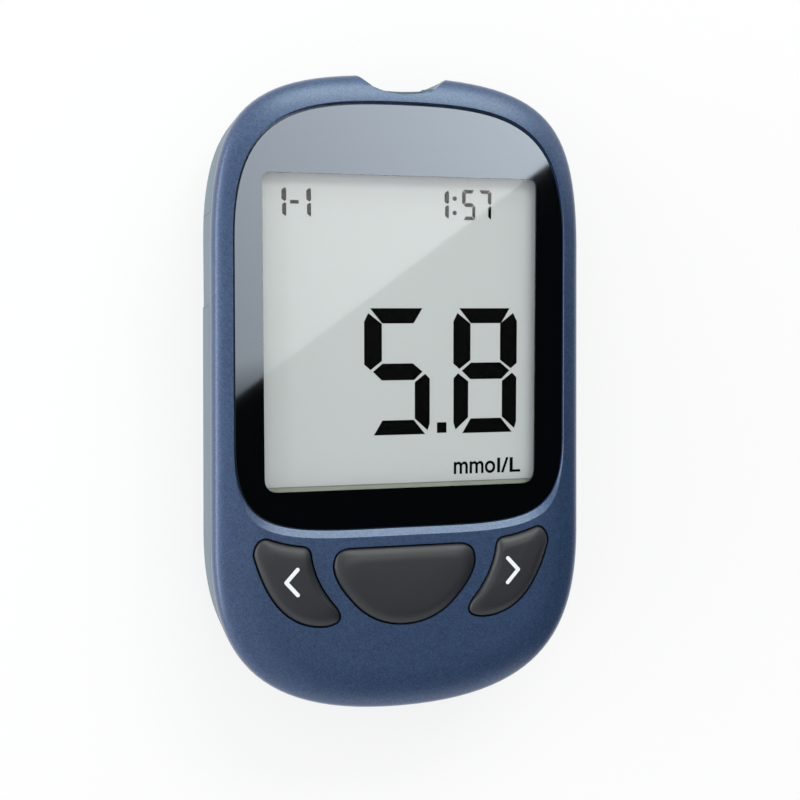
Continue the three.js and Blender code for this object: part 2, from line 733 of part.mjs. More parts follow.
// Pressed metal dome that clicks under a key
function snapDome(name, [x, y]) {
  const [across, up] = domeShares;
  const profile = [
    [0, domeHeight - domeSheet],
    [domeRadius * across, domeHeight * up - domeSheet],
    [domeRadius - domeSheet, 0],
    [domeRadius, 0],
    [domeRadius * across, domeHeight * up],
    [0, domeHeight],
  ];
  const dome = new THREE.LatheGeometry(profile.map(([r, z]) => new THREE.Vector2(r, z)), roundSides);
  dome.rotateX(Math.PI / 2);
  addPart(name, toSolid(dome), springSteel, x, y, boardTop + seatGap);
}

// Door in the back: plate with a rounded hinge end, two moulded pins and a latch tongue
function batteryDoor() {
  const half = doorThickness / 2;
  const reach = doorEndHigh - doorAxisY;
  let door = slab([-doorHalf, doorHalf], [0, reach], [-half, half]);
  door = door.add(rodAcross(half, -doorHalf, doorHalf, 0, 0));
  door = door.add(rodAcross(pinRadius, -doorHalf - pinLength, doorHalf + pinLength, 0, 0));
  const tongueHalf = tongueWidth / 2 - tongueSlot;
  door = door.add(slab([-tongueHalf, tongueHalf], [reach - tongueNose, reach + tongueNose], [0, half]));
  for (const slotLeft of [-tongueWidth / 2, tongueHalf]) {
    door = door.subtract(slab(
      [slotLeft, slotLeft + tongueSlot],
      [reach - tongueLength, reach + overrun],
      [-half - overrun, half + overrun],
    ));
  }
  addPart('battery_door', door, greyShell, 0, doorAxisY, doorAxisZ);
}

// AAA cell: can, step at the rim and terminal, which points at the strip port's end
function battery(name, x) {
  const can = cellDiameter / 2;
  const step = terminalHeight / 2;
  const tip = cellLength + terminalHeight;
  const profile = [
    [0, 0], [can - step, 0], [can, step], [can, cellLength - step], [can - step, cellLength],
    [terminalRadius, cellLength], [terminalRadius, tip], [0, tip],
  ];
  const cell = new THREE.LatheGeometry(profile.map(([r, y]) => new THREE.Vector2(r, y)), roundSides);
  const low = bayEndLow + plateThickness + slack + springLength;
  addPart(name, toSolid(cell), cellJacket, x, low, cellAxis);
}

// Contact plate with a tail through the bay's roof towards the board
function contactPlate() {
  const half = plateThickness / 2;
  const plate = slab([-plateWidth / 2, plateWidth / 2], [-half, half], [-plateHeight / 2, plateHeight / 2]);
  const tailTop = boardBottom - seatGap - cellAxis;
  return plate.add(slab([-plateWidth / 4, plateWidth / 4], [-half, half], [0, tailTop]));
}

class Helix extends THREE.Curve {
  getPoint(share, target = new THREE.Vector3()) {
    const angle = share * springTurns * 2 * Math.PI;
    const radius = springRadius * (1 - springTaperShare * share);
    const along = share * (springLength - springWire);
    return target.set(radius * Math.cos(angle), along, radius * Math.sin(angle));
  }
}

// Plate with the coil that presses on the flat end of a cell
function springContact(name, x) {
  const coil = new THREE.ExtrudeGeometry(
    new THREE.Shape(Array.from({ length: wireSides }, (unused, corner) => {
      const angle = corner / wireSides * 2 * Math.PI;
      return new THREE.Vector2(springWire * Math.cos(angle), springWire * Math.sin(angle));
    })),
    { extrudePath: new Helix(), steps: springTurns * coilSteps, bevelEnabled: false },
  );
  coil.translate(0, plateThickness / 2, 0);
  const plateY = bayEndLow + seatGap + plateThickness / 2;
  addPart(name, contactPlate().add(toSolid(coil)), springSteel, x, plateY, cellAxis);
}

function flatContact(name, x) {
  addPart(name, contactPlate(), springSteel, x, bayEndHigh - seatGap - plateThickness / 2, cellAxis);
}

// Case screw, from the back through the rear cover into the front shell
function caseScrew(name, [x, y]) {
  const socket = headRadius * socketShare;
  const screw = post(headRadius, 0, 0, -headHeight, 0)
    .add(post(shankRadius, 0, 0, -headHeight / 2, screwEnd - screwSeat))
    .subtract(post(socket, 0, 0, -headHeight - overrun, -headHeight / 2, socketSides));
  addPart(name, screw, springSteel, x, y, screwSeat - seatGap);
}

frontShell();
rearCover();
displayLens();
displayGlasses();
displayHolder();
elastomerStrip();
mainBoard();
boardParts();
stripConnector();
stripContact('strip_contact_left', -contactPitch);
stripContact('strip_contact_middle', 0);
stripContact('strip_contact_right', contactPitch);
['left', 'middle', 'right'].forEach((side, here) => {
  key(`key_${side}`, keyHoles[here], keySpots[here]);
  snapDome(`dome_${side}`, keySpots[here]);
});
batteryDoor();
const cellColumn = (cellDiameter + cellSpacing) / 2;
battery('battery_left', -cellColumn);
battery('battery_right', cellColumn);
springContact('battery_spring_left', -cellColumn);
springContact('battery_spring_right', cellColumn);
flatContact('battery_plate_left', -cellColumn);
flatContact('battery_plate_right', cellColumn);
bossSpots.forEach((spot, here) => caseScrew(`case_screw_${here + 1}`, spot));

export default model;
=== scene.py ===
"""A blood glucose meter: blue front shell, grey rear cover, black bordered lens, display and three keys.

Lengths are metres. +X is right, +Y is towards the strip port and +Z is out of the face.
"""

import math

import bpy
from mathutils import Euler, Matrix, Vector


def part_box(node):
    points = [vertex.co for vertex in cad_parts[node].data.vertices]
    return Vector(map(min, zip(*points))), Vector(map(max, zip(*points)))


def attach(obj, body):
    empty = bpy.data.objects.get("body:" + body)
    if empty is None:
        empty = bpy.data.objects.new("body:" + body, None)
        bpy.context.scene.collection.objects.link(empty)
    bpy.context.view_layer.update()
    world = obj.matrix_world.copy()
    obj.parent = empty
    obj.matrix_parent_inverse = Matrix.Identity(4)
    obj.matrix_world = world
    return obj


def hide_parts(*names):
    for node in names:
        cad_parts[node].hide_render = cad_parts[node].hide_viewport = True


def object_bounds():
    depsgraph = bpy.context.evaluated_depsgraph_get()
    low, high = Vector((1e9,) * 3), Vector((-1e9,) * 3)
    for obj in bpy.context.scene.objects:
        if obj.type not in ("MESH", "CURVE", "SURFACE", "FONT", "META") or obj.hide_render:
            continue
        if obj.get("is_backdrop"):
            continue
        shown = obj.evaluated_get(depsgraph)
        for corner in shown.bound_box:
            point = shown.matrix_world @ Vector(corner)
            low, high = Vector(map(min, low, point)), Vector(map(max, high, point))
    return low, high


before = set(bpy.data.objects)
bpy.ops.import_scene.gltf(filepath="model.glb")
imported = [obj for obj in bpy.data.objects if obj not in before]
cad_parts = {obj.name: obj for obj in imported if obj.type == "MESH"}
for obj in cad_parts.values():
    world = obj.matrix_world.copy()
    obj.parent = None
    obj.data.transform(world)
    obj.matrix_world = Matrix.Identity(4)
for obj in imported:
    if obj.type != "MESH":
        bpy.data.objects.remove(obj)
cad_low, cad_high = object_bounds()
mm = 0.001

# Camera
# It looks down on the face from the meter's left, a little above the window's middle.
# Turn, tilt, roll and distance were fitted to the outline of the case and of the window.
window_middle = Vector((0, 9.56, 21.4)) * mm
view_turn = math.radians(-14.836)
view_tilt = math.radians(-4.188)
view_roll = math.radians(-0.044)
view_distance = 181.615 * mm
view_slide = Vector((-0.662, -10.009, 0)) * mm  # of the camera, across its own view
film_width = 36  # like the focal length, in mm
focal_length = 54
nearest = 1 * mm

bpy.ops.object.camera_add()
camera = bpy.context.object
camera.data.sensor_width = film_width
camera.data.lens = focal_length
camera.data.clip_start = nearest
view = Euler((view_tilt, view_turn, view_roll), "ZXY").to_matrix()
camera.rotation_euler = view.to_euler()
camera.location = window_middle + view @ (view_slide + Vector((0, 0, view_distance)))
bpy.context.scene.camera = camera
bpy.context.scene.view_settings.view_transform = "Standard"

# Studio
# A white table under the meter, and pale light from all round it. A broad softbox hangs beyond
# the strip end, and a narrow one stands on the left.


def deselect():
    bpy.ops.object.select_all(action="DESELECT")


def linear(colour):
    """A colour written as sRGB hex, such as "8899aa", in the linear values that shaders take."""
    shares = [int(colour[at : at + 2], 16) / 255 for at in (0, 2, 4)]
    return (*[s / 12.92 if s <= 0.04045 else ((s + 0.055) / 1.055) ** 2.4 for s in shares], 1)


def add_node(owner, kind, settings=None, inputs=None):
    """A shader node. settings are its own properties, and inputs are values or other nodes' outputs."""
    tree = owner.node_tree
    node = tree.nodes.new("ShaderNode" + kind)
    for name, value in (settings or {}).items():
        setattr(node, name, value)
    for name, value in (inputs or {}).items():
        if isinstance(value, bpy.types.NodeSocket):
            tree.links.new(value, node.inputs[name])
        else:
            node.inputs[name].default_value = value
    return node


def start_material(name):
    """A material with an empty node tree."""
    material = bpy.data.materials.new(name)
    material.use_nodes = True
    material.node_tree.nodes.clear()
    return material


def end_material(material, shader):
    """Ends a material's nodes with the shader that its surface shows."""
    add_node(material, "OutputMaterial", inputs={"Surface": shader})
    return material


def dress(piece, *materials):
    """Puts materials on a piece in place of any that it has."""
    piece.data.materials.clear()
    for material in materials:
        piece.data.materials.append(material)


studio_level = 0.62
studio_swing = 0.5  # how much brighter it is on the bright side, and darker on the other
bright_side = (-0.65, 0.55, 0.5)
studio_white = linear("ffffff")
background_rays = ("Is Camera Ray", "Is Glossy Ray", "Is Transmission Ray")
table_size = 4
table_share = 0.25  # how much of the table's own shading the camera sees over plain white


def sees_background(owner):
    """1 for a ray from the camera, a mirror or glass, which the white background is for, or else 0."""
    ray = add_node(owner, "LightPath")
    seen = ray.outputs[background_rays[0]]
    for kind in background_rays[1:]:
        seen = add_node(owner, "Math", {"operation": "MAXIMUM"}, {0: seen, 1: ray.outputs[kind]}).outputs[0]
    return seen


world = bpy.data.worlds.new("studio_air")
world.use_nodes = True
world.node_tree.nodes.clear()
way = add_node(world, "TexCoord")
lean = add_node(
    world, "VectorMath", {"operation": "DOT_PRODUCT"}, {0: way.outputs["Generated"], 1: bright_side}
)
around = add_node(
    world,
    "MapRange",
    inputs={
        "Value": lean.outputs["Value"],
        "From Min": -1.0,
        "To Min": studio_level - studio_swing,
        "To Max": studio_level + studio_swing,
    },
)
level = add_node(
    world, "MapRange", inputs={"Value": sees_background(world), "To Min": around.outputs[0], "To Max": 1.0}
)
air = add_node(world, "Background", inputs={"Color": studio_white, "Strength": level.outputs[0]})
add_node(world, "OutputWorld", inputs={"Surface": air.outputs[0]})
bpy.context.scene.world = world

deselect()
bpy.ops.mesh.primitive_plane_add(size=table_size, location=(0, 0, cad_low.z))
table = bpy.context.object
table.name = "white_table"

# White laminate: the camera sees it as the white background, with the meter's shadow faintly on it.
# From below it isn't there, so that the back shows.
table_paint = start_material("white_laminate")
shown = add_node(
    table_paint,
    "MapRange",
    inputs={"Value": sees_background(table_paint), "To Min": 0.0, "To Max": 1 - table_share},
)
lit = add_node(table_paint, "BsdfDiffuse", inputs={"Color": linear("f2f3f4")})
plain = add_node(table_paint, "Emission", inputs={"Color": studio_white})
both = add_node(
    table_paint, "MixShader", inputs={0: shown.outputs[0], 1: lit.outputs[0], 2: plain.outputs[0]}
)
under_side = add_node(table_paint, "NewGeometry")
nothing = add_node(table_paint, "BsdfTransparent")
one_sided = add_node(
    table_paint,
    "MixShader",
    inputs={0: under_side.outputs["Backfacing"], 1: both.outputs[0], 2: nothing.outputs[0]},
)
dress(table, end_material(table_paint, one_sided.outputs[0]))
table.visible_diffuse = False
table.visible_shadow = False
table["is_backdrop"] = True


def hang_softbox(name, place, width, height, watts, tint):
    """An area lamp at place that faces the meter."""
    place = Vector(place)
    bpy.ops.object.light_add(type="AREA", location=place)
    lamp = bpy.context.object
    lamp.name = name
    lamp.rotation_euler = place.to_track_quat("Z", "Y").to_euler()
    lamp.data.shape = "RECTANGLE"
    lamp.data.size = width
    lamp.data.size_y = height
    lamp.data.energy = watts
    lamp.data.color = linear(tint)[:3]


hang_softbox("softbox_beyond_the_port", (0.12, 0.475, 0.46), width=0.5, height=0.2, watts=1.55, tint="f5fff0")
hang_softbox("softbox_on_the_left", (-0.45, 0.0, 0.15), width=0.5, height=0.12, watts=0.8, tint="ffffff")

# Glare card
# A tilted edge of a white card hangs over the meter. The flat lens mirrors it to the camera,
# so its place is that edge on the lens, carried up by the law of reflection.
glare_from = Vector((-25.17, 0.68, 21.4)) * mm
glare_to = Vector((22.85, 35.58, 21.4)) * mm
card_height = 0.6
card_reach = 0.14
card_overlap = 0.02
card_levels = (2.5, 5.4)  # from its left end to its right end
card_dim_share = 0.3  # of that, at the left end's edge
card_fade = (0.004, 0.03)  # where the dim corner starts and ends
card_fade_lean = 0.4

mirrored_camera = camera.location.copy()
mirrored_camera.z = 2 * glare_from.z - camera.location.z


def seen_on_card(point):
    """Where the line from the mirrored camera through a point of the lens meets the card."""
    way = point - mirrored_camera
    return mirrored_camera + way * (card_height - mirrored_camera.z) / way.z


card_start = seen_on_card(glare_from)
card_end = seen_on_card(glare_to)
card_along = (card_end - card_start).normalized()
card_in = Vector((-card_along.y, card_along.x, 0))
card_length = (card_end - card_start).length + 2 * card_overlap
deselect()
bpy.ops.mesh.primitive_plane_add(size=1)
card = bpy.context.object
card.name = "white_card"
card.scale = (card_length, card_reach, 1)
card.location = (card_start + card_end) / 2 + card_in * card_reach / 2
card.rotation_euler = (0, 0, math.atan2(card_along.y, card_along.x))
card.visible_camera = False
card.visible_diffuse = False
card.visible_shadow = False

# Card lit by a lamp at its right end: its mirror image on the lens grows brighter to the right,
# and dims towards its left corner.
card_light = start_material("lit_card")
place = add_node(card_light, "TexCoord")
spot = add_node(card_light, "SeparateXYZ", inputs={0: place.outputs["Object"]})
along = add_node(
    card_light,
    "MapRange",
    inputs={
        "Value": spot.outputs["X"],
        "From Min": -0.5,
        "From Max": 0.5,
        "To Min": card_levels[0],
        "To Max": card_levels[1],
    },
)
fade_length = card_length * card_fade_lean
sideways = add_node(
    card_light,
    "Math",
    {"operation": "MULTIPLY_ADD"},
    {0: spot.outputs["X"], 1: fade_length, 2: 0.5 * fade_length},
)
inwards = add_node(
    card_light,
    "Math",
    {"operation": "MULTIPLY_ADD"},
    {0: spot.outputs["Y"], 1: card_reach, 2: 0.5 * card_reach},
)
off_corner = add_node(
    card_light, "Math", {"operation": "ADD"}, {0: sideways.outputs[0], 1: inwards.outputs[0]}
)
corner_share = add_node(
    card_light,
    "MapRange",
    inputs={
        "Value": off_corner.outputs[0],
        "From Min": card_fade[0],
        "From Max": card_fade[1],
        "To Min": card_dim_share,
        "To Max": 1.0,
    },
)
glow = add_node(
    card_light, "Math", {"operation": "MULTIPLY"}, {0: along.outputs[0], 1: corner_share.outputs[0]}
)
glow_shader = add_node(card_light, "Emission", inputs={"Color": studio_white, "Strength": glow.outputs[0]})
dress(card, end_material(card_light, glow_shader.outputs[0]))
card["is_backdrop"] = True

# Flags and scrim
# Boards that only the gloss mirrors, and that block no light: black ones over the meter and on the
# right, so that the lens is black where it doesn't mirror the card, and a dim one on the left.
scrim_level = 0.45

# Black felt gives the lens its black, and lit silk a dim grey on the left.
flag_felt = start_material("black_felt")
felt = add_node(flag_felt, "BsdfDiffuse", inputs={"Color": linear("020202")})
end_material(flag_felt, felt.outputs[0])
scrim_silk = start_material("dim_silk")
silk = add_node(scrim_silk, "Emission", inputs={"Color": studio_white, "Strength": scrim_level})
end_material(scrim_silk, silk.outputs[0])


def hang_board(name, cloth, place, width, length, lean):
    """A board covered with cloth. lean is its turn about +Y, in degrees from lying flat."""
    deselect()
    bpy.ops.mesh.primitive_plane_add(size=1, location=place, rotation=(0, math.radians(lean), 0))
    board = bpy.context.object
    board.name = name
    board.scale = (width, length, 1)
    board.visible_camera = False
    board.visible_diffuse = False
    board.visible_shadow = False
    dress(board, cloth)
    board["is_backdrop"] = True


hang_board("black_flag_overhead", flag_felt, (0.44, -0.3, 0.62), width=0.84, length=1.3, lean=0)
hang_board("black_flag_on_the_right", flag_felt, (0.86, -0.375, 0.33), width=0.58, length=1.15, lean=90)
hang_board("dim_scrim_on_the_left", scrim_silk, (-0.34, -0.3, 0.63), width=0.74, length=1.3, lean=0)

# Front shell
# The upper half of the case, injection moulded in ABS and sprayed with blue metallic paint.
# It holds the lens in a pocket, lets the keys through and clips over the rear cover with a thin lip.
shell_low, shell_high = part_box("front_shell")
case_top = shell_high.y
case_bottom = shell_low.y
hip = shell_high.x
face = shell_high.z
shoulder = 28.8 * mm
shoulder_drop = 27.2 * mm
hip_rise = 26.3 * mm
top_pull_shares = (0.834, 0.786)
bottom_pull_shares = (0.823, 0.578)
seam_top = 18.55 * mm
roll_width = 4.0 * mm
rim_profile = [  # a wall that leans in, a tight edge, and a dome that flattens slowly, in mm
    (0.0, 0.02),
    (0.04, 0.55),
    (0.12, 1.0),
    (0.26, 1.4),
    (0.44, 1.7),
    (0.66, 1.93),
    (0.92, 2.12),
    (1.25, 2.31),
    (1.6, 2.47),
    (2.0, 2.63),
    (2.5, 2.8),
    (3.0, 2.95),
    (3.5, 3.08),
    (4.0, 3.19),
    (4.6, 3.295),
    (5.3, 3.38),
    (6.1, 3.432),
    (7.0, 3.45),
]
rim_foot = 0.02 * mm
curve_steps = 28
notch_steps = 20
wire_steps = 3
overrun = 2 * mm
slack = 0.3 * mm
hair = 0.015 * mm  # keeps the faces of two cuts from lying on each other
overlap = 0.5 * mm  # of solids that are joined
same_point = 0.0001 * mm  # points nearer than this are merged
shortest_edge = 0.001 * mm  # shorter ones are left by cuts, and are taken out
wall = 1.6 * mm
lip_wall = 0.8 * mm
lip_depth = 1.5 * mm


def trace(start, strokes, steps, closed=True, wire=0.0):
    """A chain of edges, or a round wire. A stroke is its end point, with up to two pull points before it."""
    deselect()
    bpy.ops.curve.primitive_bezier_circle_add()
    chain = bpy.context.object
    spline = chain.data.splines[0]
    spline.use_cyclic_u = closed
    spline.bezier_points.add(len(strokes) + (0 if closed else 1) - len(spline.bezier_points))
    points = spline.bezier_points
    for point in points:
        point.handle_left_type = "FREE"
        point.handle_right_type = "FREE"
    here = Vector(start).to_3d()
    points[0].co = here
    for number, stroke in enumerate(strokes):
        *pulls, end = [Vector(place).to_3d() for place in stroke]
        if not pulls:
            pulls = [here.lerp(end, 1 / 3), here.lerp(end, 2 / 3)]
        if len(pulls) == 1:
            pulls = [here.lerp(pulls[0], 2 / 3), end.lerp(pulls[0], 2 / 3)]
        following = points[(number + 1) % len(points)]
        points[number].handle_right = pulls[0]
        following.co = end
        following.handle_left = pulls[1]
        here = end
    chain.data.resolution_u = steps
    chain.data.bevel_depth = wire
    chain.data.bevel_resolution = wire_steps
    chain.data.use_fill_caps = True
    bpy.ops.object.convert(target="MESH")
    return bpy.context.object


def raise_solid(loop, low, high, grown=0.0):
    """Makes a loop of edges a solid between two heights, with its sides moved out by grown."""
    pad = 2 * abs(grown)
    bpy.ops.object.mode_set(mode="EDIT")
    bpy.ops.mesh.select_all(action="SELECT")
    bpy.ops.mesh.remove_doubles(threshold=same_point)
    bpy.ops.mesh.edge_face_add()
    bpy.ops.transform.translate(value=(0, 0, low - pad))
    bpy.ops.mesh.extrude_region_move(TRANSFORM_OT_translate={"value": (0, 0, high - low + 2 * pad)})
    bpy.ops.mesh.select_all(action="SELECT")
    bpy.ops.mesh.normals_make_consistent(inside=False)
    if grown:
        bpy.ops.transform.shrink_fatten(value=grown, use_even_offset=True)
        bpy.ops.object.mode_set(mode="OBJECT")
        for way in (-1, 1):
            select_faces(loop, lambda middle, normal: normal.z * way > 0.9)
            bpy.ops.transform.translate(value=(0, 0, -way * (pad + grown)))
            bpy.ops.object.mode_set(mode="OBJECT")
    bpy.ops.object.mode_set(mode="OBJECT")
    return loop


def barrel(top, bottom, upper_half, lower_half, drop, rise, top_shares, bottom_shares):
    """Two rounded ends joined by near-straight sides, alike left and right."""
    upper = top - drop
    lower = bottom + rise
    top_pull = upper_half * top_shares[0]
    side_pull = upper + drop * top_shares[1]
    low_side_pull = lower - rise * bottom_shares[1]
    bottom_pull = lower_half * bottom_shares[0]
    strokes = [
        [(-top_pull, top), (-upper_half, side_pull), (-upper_half, upper)],
        [(-lower_half, lower)],
        [(-lower_half, low_side_pull), (-bottom_pull, bottom), (0, bottom)],
        [(bottom_pull, bottom), (lower_half, low_side_pull), (lower_half, lower)],
        [(upper_half, upper)],
        [(upper_half, side_pull), (top_pull, top), (0, top)],
    ]
    return trace((0, top), strokes, curve_steps)


def case_outline():
    return barrel(
        case_top, case_bottom, shoulder, hip, shoulder_drop, hip_rise, top_pull_shares, bottom_pull_shares
    )


def make_active(piece):
    deselect()
    piece.select_set(True)
    bpy.context.view_layer.objects.active = piece


def cut(piece, tool, operation="DIFFERENCE"):
    """Cuts a tool's solid out of a piece, or joins it on, and takes the tool away."""
    make_active(piece)
    bpy.ops.object.modifier_add(type="BOOLEAN")
    modifier = piece.modifiers[-1]
    modifier.operation = operation
    modifier.solver = "EXACT"
    modifier.object = tool
    bpy.ops.object.modifier_apply(modifier=modifier.name)
    bpy.data.objects.remove(tool)
    return piece


def select_faces(piece, wanted):
    """Selects the faces for which wanted(middle, normal) holds, and leaves the piece in edit mode."""
    make_active(piece)
    bpy.ops.object.mode_set(mode="EDIT")
    bpy.ops.mesh.select_mode(type="FACE")
    bpy.ops.mesh.select_all(action="DESELECT")
    bpy.ops.object.mode_set(mode="OBJECT")
    for side in piece.data.polygons:
        side.select = wanted(side.center, side.normal)
    bpy.ops.object.mode_set(mode="EDIT")


def follow(profile):
    """Insets the face that is selected in edit mode along a profile of (inset, climb) pairs."""
    for before, after in zip(profile, profile[1:]):
        bpy.ops.mesh.inset(thickness=after[0] - before[0], depth=after[1] - before[1])
    bpy.ops.object.mode_set(mode="OBJECT")


def smooth(piece, sharp_angle=35):
    """Shades a piece smooth but for its sharp edges, with flat faces kept flat."""
    make_active(piece)
    bpy.ops.object.mode_set(mode="EDIT")
    bpy.ops.mesh.select_all(action="SELECT")
    bpy.ops.mesh.dissolve_degenerate(threshold=shortest_edge)
    bpy.ops.object.mode_set(mode="OBJECT")
    bpy.ops.object.shade_smooth_by_angle(angle=math.radians(sharp_angle))
    bpy.ops.object.modifier_add(type="WEIGHTED_NORMAL")
    piece.modifiers[-1].keep_sharp = True
    bpy.ops.object.modifier_apply(modifier=piece.modifiers[-1].name)


def block(across, along, heights):
    """A box between two values on each axis."""
    deselect()
    pairs = (across, along, heights)
    bpy.ops.mesh.primitive_cube_add(
        size=1,
        location=[(pair[0] + pair[1]) / 2 for pair in pairs],
        scale=[pair[1] - pair[0] for pair in pairs],
    )
    bpy.ops.object.transform_apply(location=True, rotation=True, scale=True)
    return bpy.context.object


def post(radius, x, y, low, high, sides=48):
    """An upright round bar."""
    deselect()
    bpy.ops.mesh.primitive_cylinder_add(
        vertices=sides, radius=radius, depth=high - low, location=(x, y, (low + high) / 2)
    )
    bpy.ops.object.transform_apply(location=True, rotation=True, scale=True)
    return bpy.context.object


lens_low, lens_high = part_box("display_lens")
lens_shoulder = 25.53 * mm
lens_shoulder_drop = 20.42 * mm
lens_hip_rise = 12.79 * mm
lens_top_shares = (0.633, 0.923)
lens_bottom_shares = (0.723, 1.065)
lens_gap = 0.16 * mm
lens_trim = (0.3 * mm, 0.08 * mm)  # how much shorter the visible lens is at its top and bottom
lens_face = lens_high.z
ledge_top = 19.9 * mm
ledge_bottom = 18.9 * mm
keypad_ceiling = 20.2 * mm
bevel_run = 0.85 * mm  # below the lens
bevel_rim = (0.4 * mm, 0.2 * mm)  # more all round it, across and along
seam_bottom = 18.25 * mm
parting = (seam_top + seam_bottom) / 2
lip_outer = wall + slack
lip_inner = lip_outer + lip_wall
port_half = 8.8 * mm
notch_half = 7.4 * mm
notch_depth = 3.14 * mm
shell_notch = (notch_half, notch_depth, (0.635, 0.68))
port_wall = 1.4 * mm
port_inner = case_top - notch_depth - port_wall
boss_spots = [(x * mm, y * mm) for x, y in ((-19.0, 39.96), (19.0, 39.96), (-16.5, -39.25), (16.5, -39.25))]
board_bottom = 14.2 * mm
shank_bore = 1.05 * mm
boss_wall = 1.1 * mm
screw_end = 18.3 * mm
flange_room = 1.0 * mm
edge_round = 0.14 * mm
window_half = 21.43 * mm
window_right = 21.15 * mm
window_low = -13.95 * mm
window_high = 33.24 * mm
window_margin = 0.6 * mm

# Each key's outline, in shares of its hole's width and height from the lower left corner
side_key_start = (0.177, 1.0)
side_key_strokes = [
    [(0.369, 0.926), (0.56, 0.905)],
    [(0.64, 0.888), (0.655, 0.8)],
    [(0.69, 0.5), (0.93, 0.225)],
    [(1.07, 0.03), (0.8, 0.003)],
    [(0.219, 0.0), (0.001, 0.817)],
    [(0.0, 0.925), (0.075, 1.03), (0.177, 1.0)],
]
middle_key_start = (0.125, 1.0)
middle_key_strokes = [
    [(0.5, 1.0), (0.875, 1.0)],
    [(1.0, 1.0), (1.0, 0.768)],
    [(0.993, 0.585), (0.892, 0.369)],
    [(0.738, 0.0), (0.5, 0.0)],
    [(0.262, 0.0), (0.108, 0.369)],
    [(0.007, 0.585), (0.0, 0.768)],
    [(0.0, 1.0), (0.125, 1.0)],
]
side_key_box = (-23.45 * mm, -34.74 * mm, 13.7 * mm, 14.1 * mm)
middle_key_box = (-11.35 * mm, -35.04 * mm, 22.7 * mm, 12.4 * mm)
key_steps = 12
sides_of_keys = {"left": -1, "middle": 0, "right": 1}


def key_outline(side):
    """A key's hole, where side is -1 for the left key, 0 for the middle one and 1 for the right one."""
    start, strokes = (side_key_start, side_key_strokes) if side else (middle_key_start, middle_key_strokes)
    left, bottom, width, height = side_key_box if side else middle_key_box
    mirror = -1 if side > 0 else 1

    def place(share):
        return mirror * (left + share[0] * width), bottom + share[1] * height

    return trace(place(start), [[place(share) for share in stroke] for stroke in strokes], key_steps)


def lens_outline(trim=(0, 0)):
    return barrel(
        lens_high.y - trim[0],
        lens_low.y + trim[1],
        lens_shoulder,
        lens_high.x,
        lens_shoulder_drop,
        lens_hip_rise,
        lens_top_shares,
        lens_bottom_shares,
    )


def notch_outline(half, depth, shares):
    """The strip notch, seen from the front: straight ends that run into an arc."""
    corner_x = half * shares[0]
    corner_y = case_top - depth * shares[1]
    flare = overrun * (half - corner_x) / (case_top - corner_y)
    far = case_top + overrun
    strokes = [
        [(-corner_x, corner_y)],
        [(0, 2 * (case_top - depth) - corner_y), (corner_x, corner_y)],
        [(half + flare, far)],
        [(-half - flare, far)],
    ]
    return trace((-half - flare, far), strokes, notch_steps)


def round_edges(piece, radius, steps=2, sharper_than=40):
    """Rounds off every edge of a piece that is sharper than an angle in degrees."""
    make_active(piece)
    bpy.ops.object.modifier_add(type="BEVEL")
    modifier = piece.modifiers[-1]
    modifier.width = radius
    modifier.segments = steps
    modifier.limit_method = "ANGLE"
    modifier.angle_limit = math.radians(sharper_than)
    modifier.miter_outer = "MITER_ARC"
    bpy.ops.object.modifier_apply(modifier=modifier.name)
    return piece


front_shell = raise_solid(case_outline(), seam_top, seam_top + rim_foot)
front_shell.name = "blue_front_shell"
select_faces(front_shell, lambda middle, normal: normal.z > 0.5)
follow([(inset * mm, height * mm) for inset, height in rim_profile])

for side in sides_of_keys.values():
    cut(front_shell, raise_solid(key_outline(side), parting, face + overrun))
cut(front_shell, raise_solid(lens_outline((0, lens_trim[1])), ledge_top, face + overrun, lens_gap))
slope = raise_solid(lens_outline((0, lens_trim[1])), ledge_top + slack, lens_face, lens_gap - hair)
select_faces(slope, lambda middle, normal: normal.z > 0.5)
climb = face - lens_face + overrun
beyond = climb / (face - lens_face)
bpy.ops.mesh.extrude_region_move(TRANSFORM_OT_translate={"value": (0, -bevel_run * beyond, climb)})
lens_reach = (lens_high - lens_low) / 2
bpy.ops.transform.resize(
    value=(1 + bevel_rim[0] * beyond / lens_reach.x, 1 + bevel_rim[1] * beyond / lens_reach.y, 1),
    center_override=(0, (lens_low.y + lens_high.y) / 2 - bevel_run * beyond, 0),
)
bpy.ops.object.mode_set(mode="OBJECT")
cut(front_shell, slope)
cut(front_shell, raise_solid(notch_outline(*shell_notch), seam_top - overrun, face + overrun))
round_edges(front_shell, edge_round, sharper_than=25)

# Its inside: the hollow, the keypad's room and flange rooms, the window, the lip and four bosses
hollow = raise_solid(case_outline(), seam_top - overrun, ledge_bottom, -lip_inner)
cut(hollow, block((-port_half, port_half), (port_inner, case_top), (seam_top - 2 * overrun, face)))
cut(front_shell, hollow)
keypad_room = raise_solid(case_outline(), parting, keypad_ceiling, -roll_width)
keypad_end = lens_low.y - lens_gap - wall
cut(keypad_room, block((-2 * hip, 2 * hip), (keypad_end, case_top * 2), (0, 2 * face)))
cut(front_shell, keypad_room)
for side in sides_of_keys.values():
    cut(front_shell, raise_solid(key_outline(side), parting + hair, keypad_ceiling + hair, flange_room))
cut(
    front_shell,
    block(
        (-window_half - window_margin, window_half + window_margin),
        (window_low - window_margin, window_high + window_margin),
        (parting + 3 * hair, lens_face),
    ),
)
lip_low = seam_bottom - lip_depth
lip = raise_solid(case_outline(), lip_low, seam_top + overlap, -lip_outer)
cut(lip, raise_solid(case_outline(), lip_low - overrun, face, -lip_inner - hair))
cut(
    lip,
    block(
        (-port_half - slack, port_half + slack),
        (case_top - notch_depth - lip_inner - slack, case_top),
        (lip_low - overrun, face),
    ),
)
cut(front_shell, lip, "UNION")
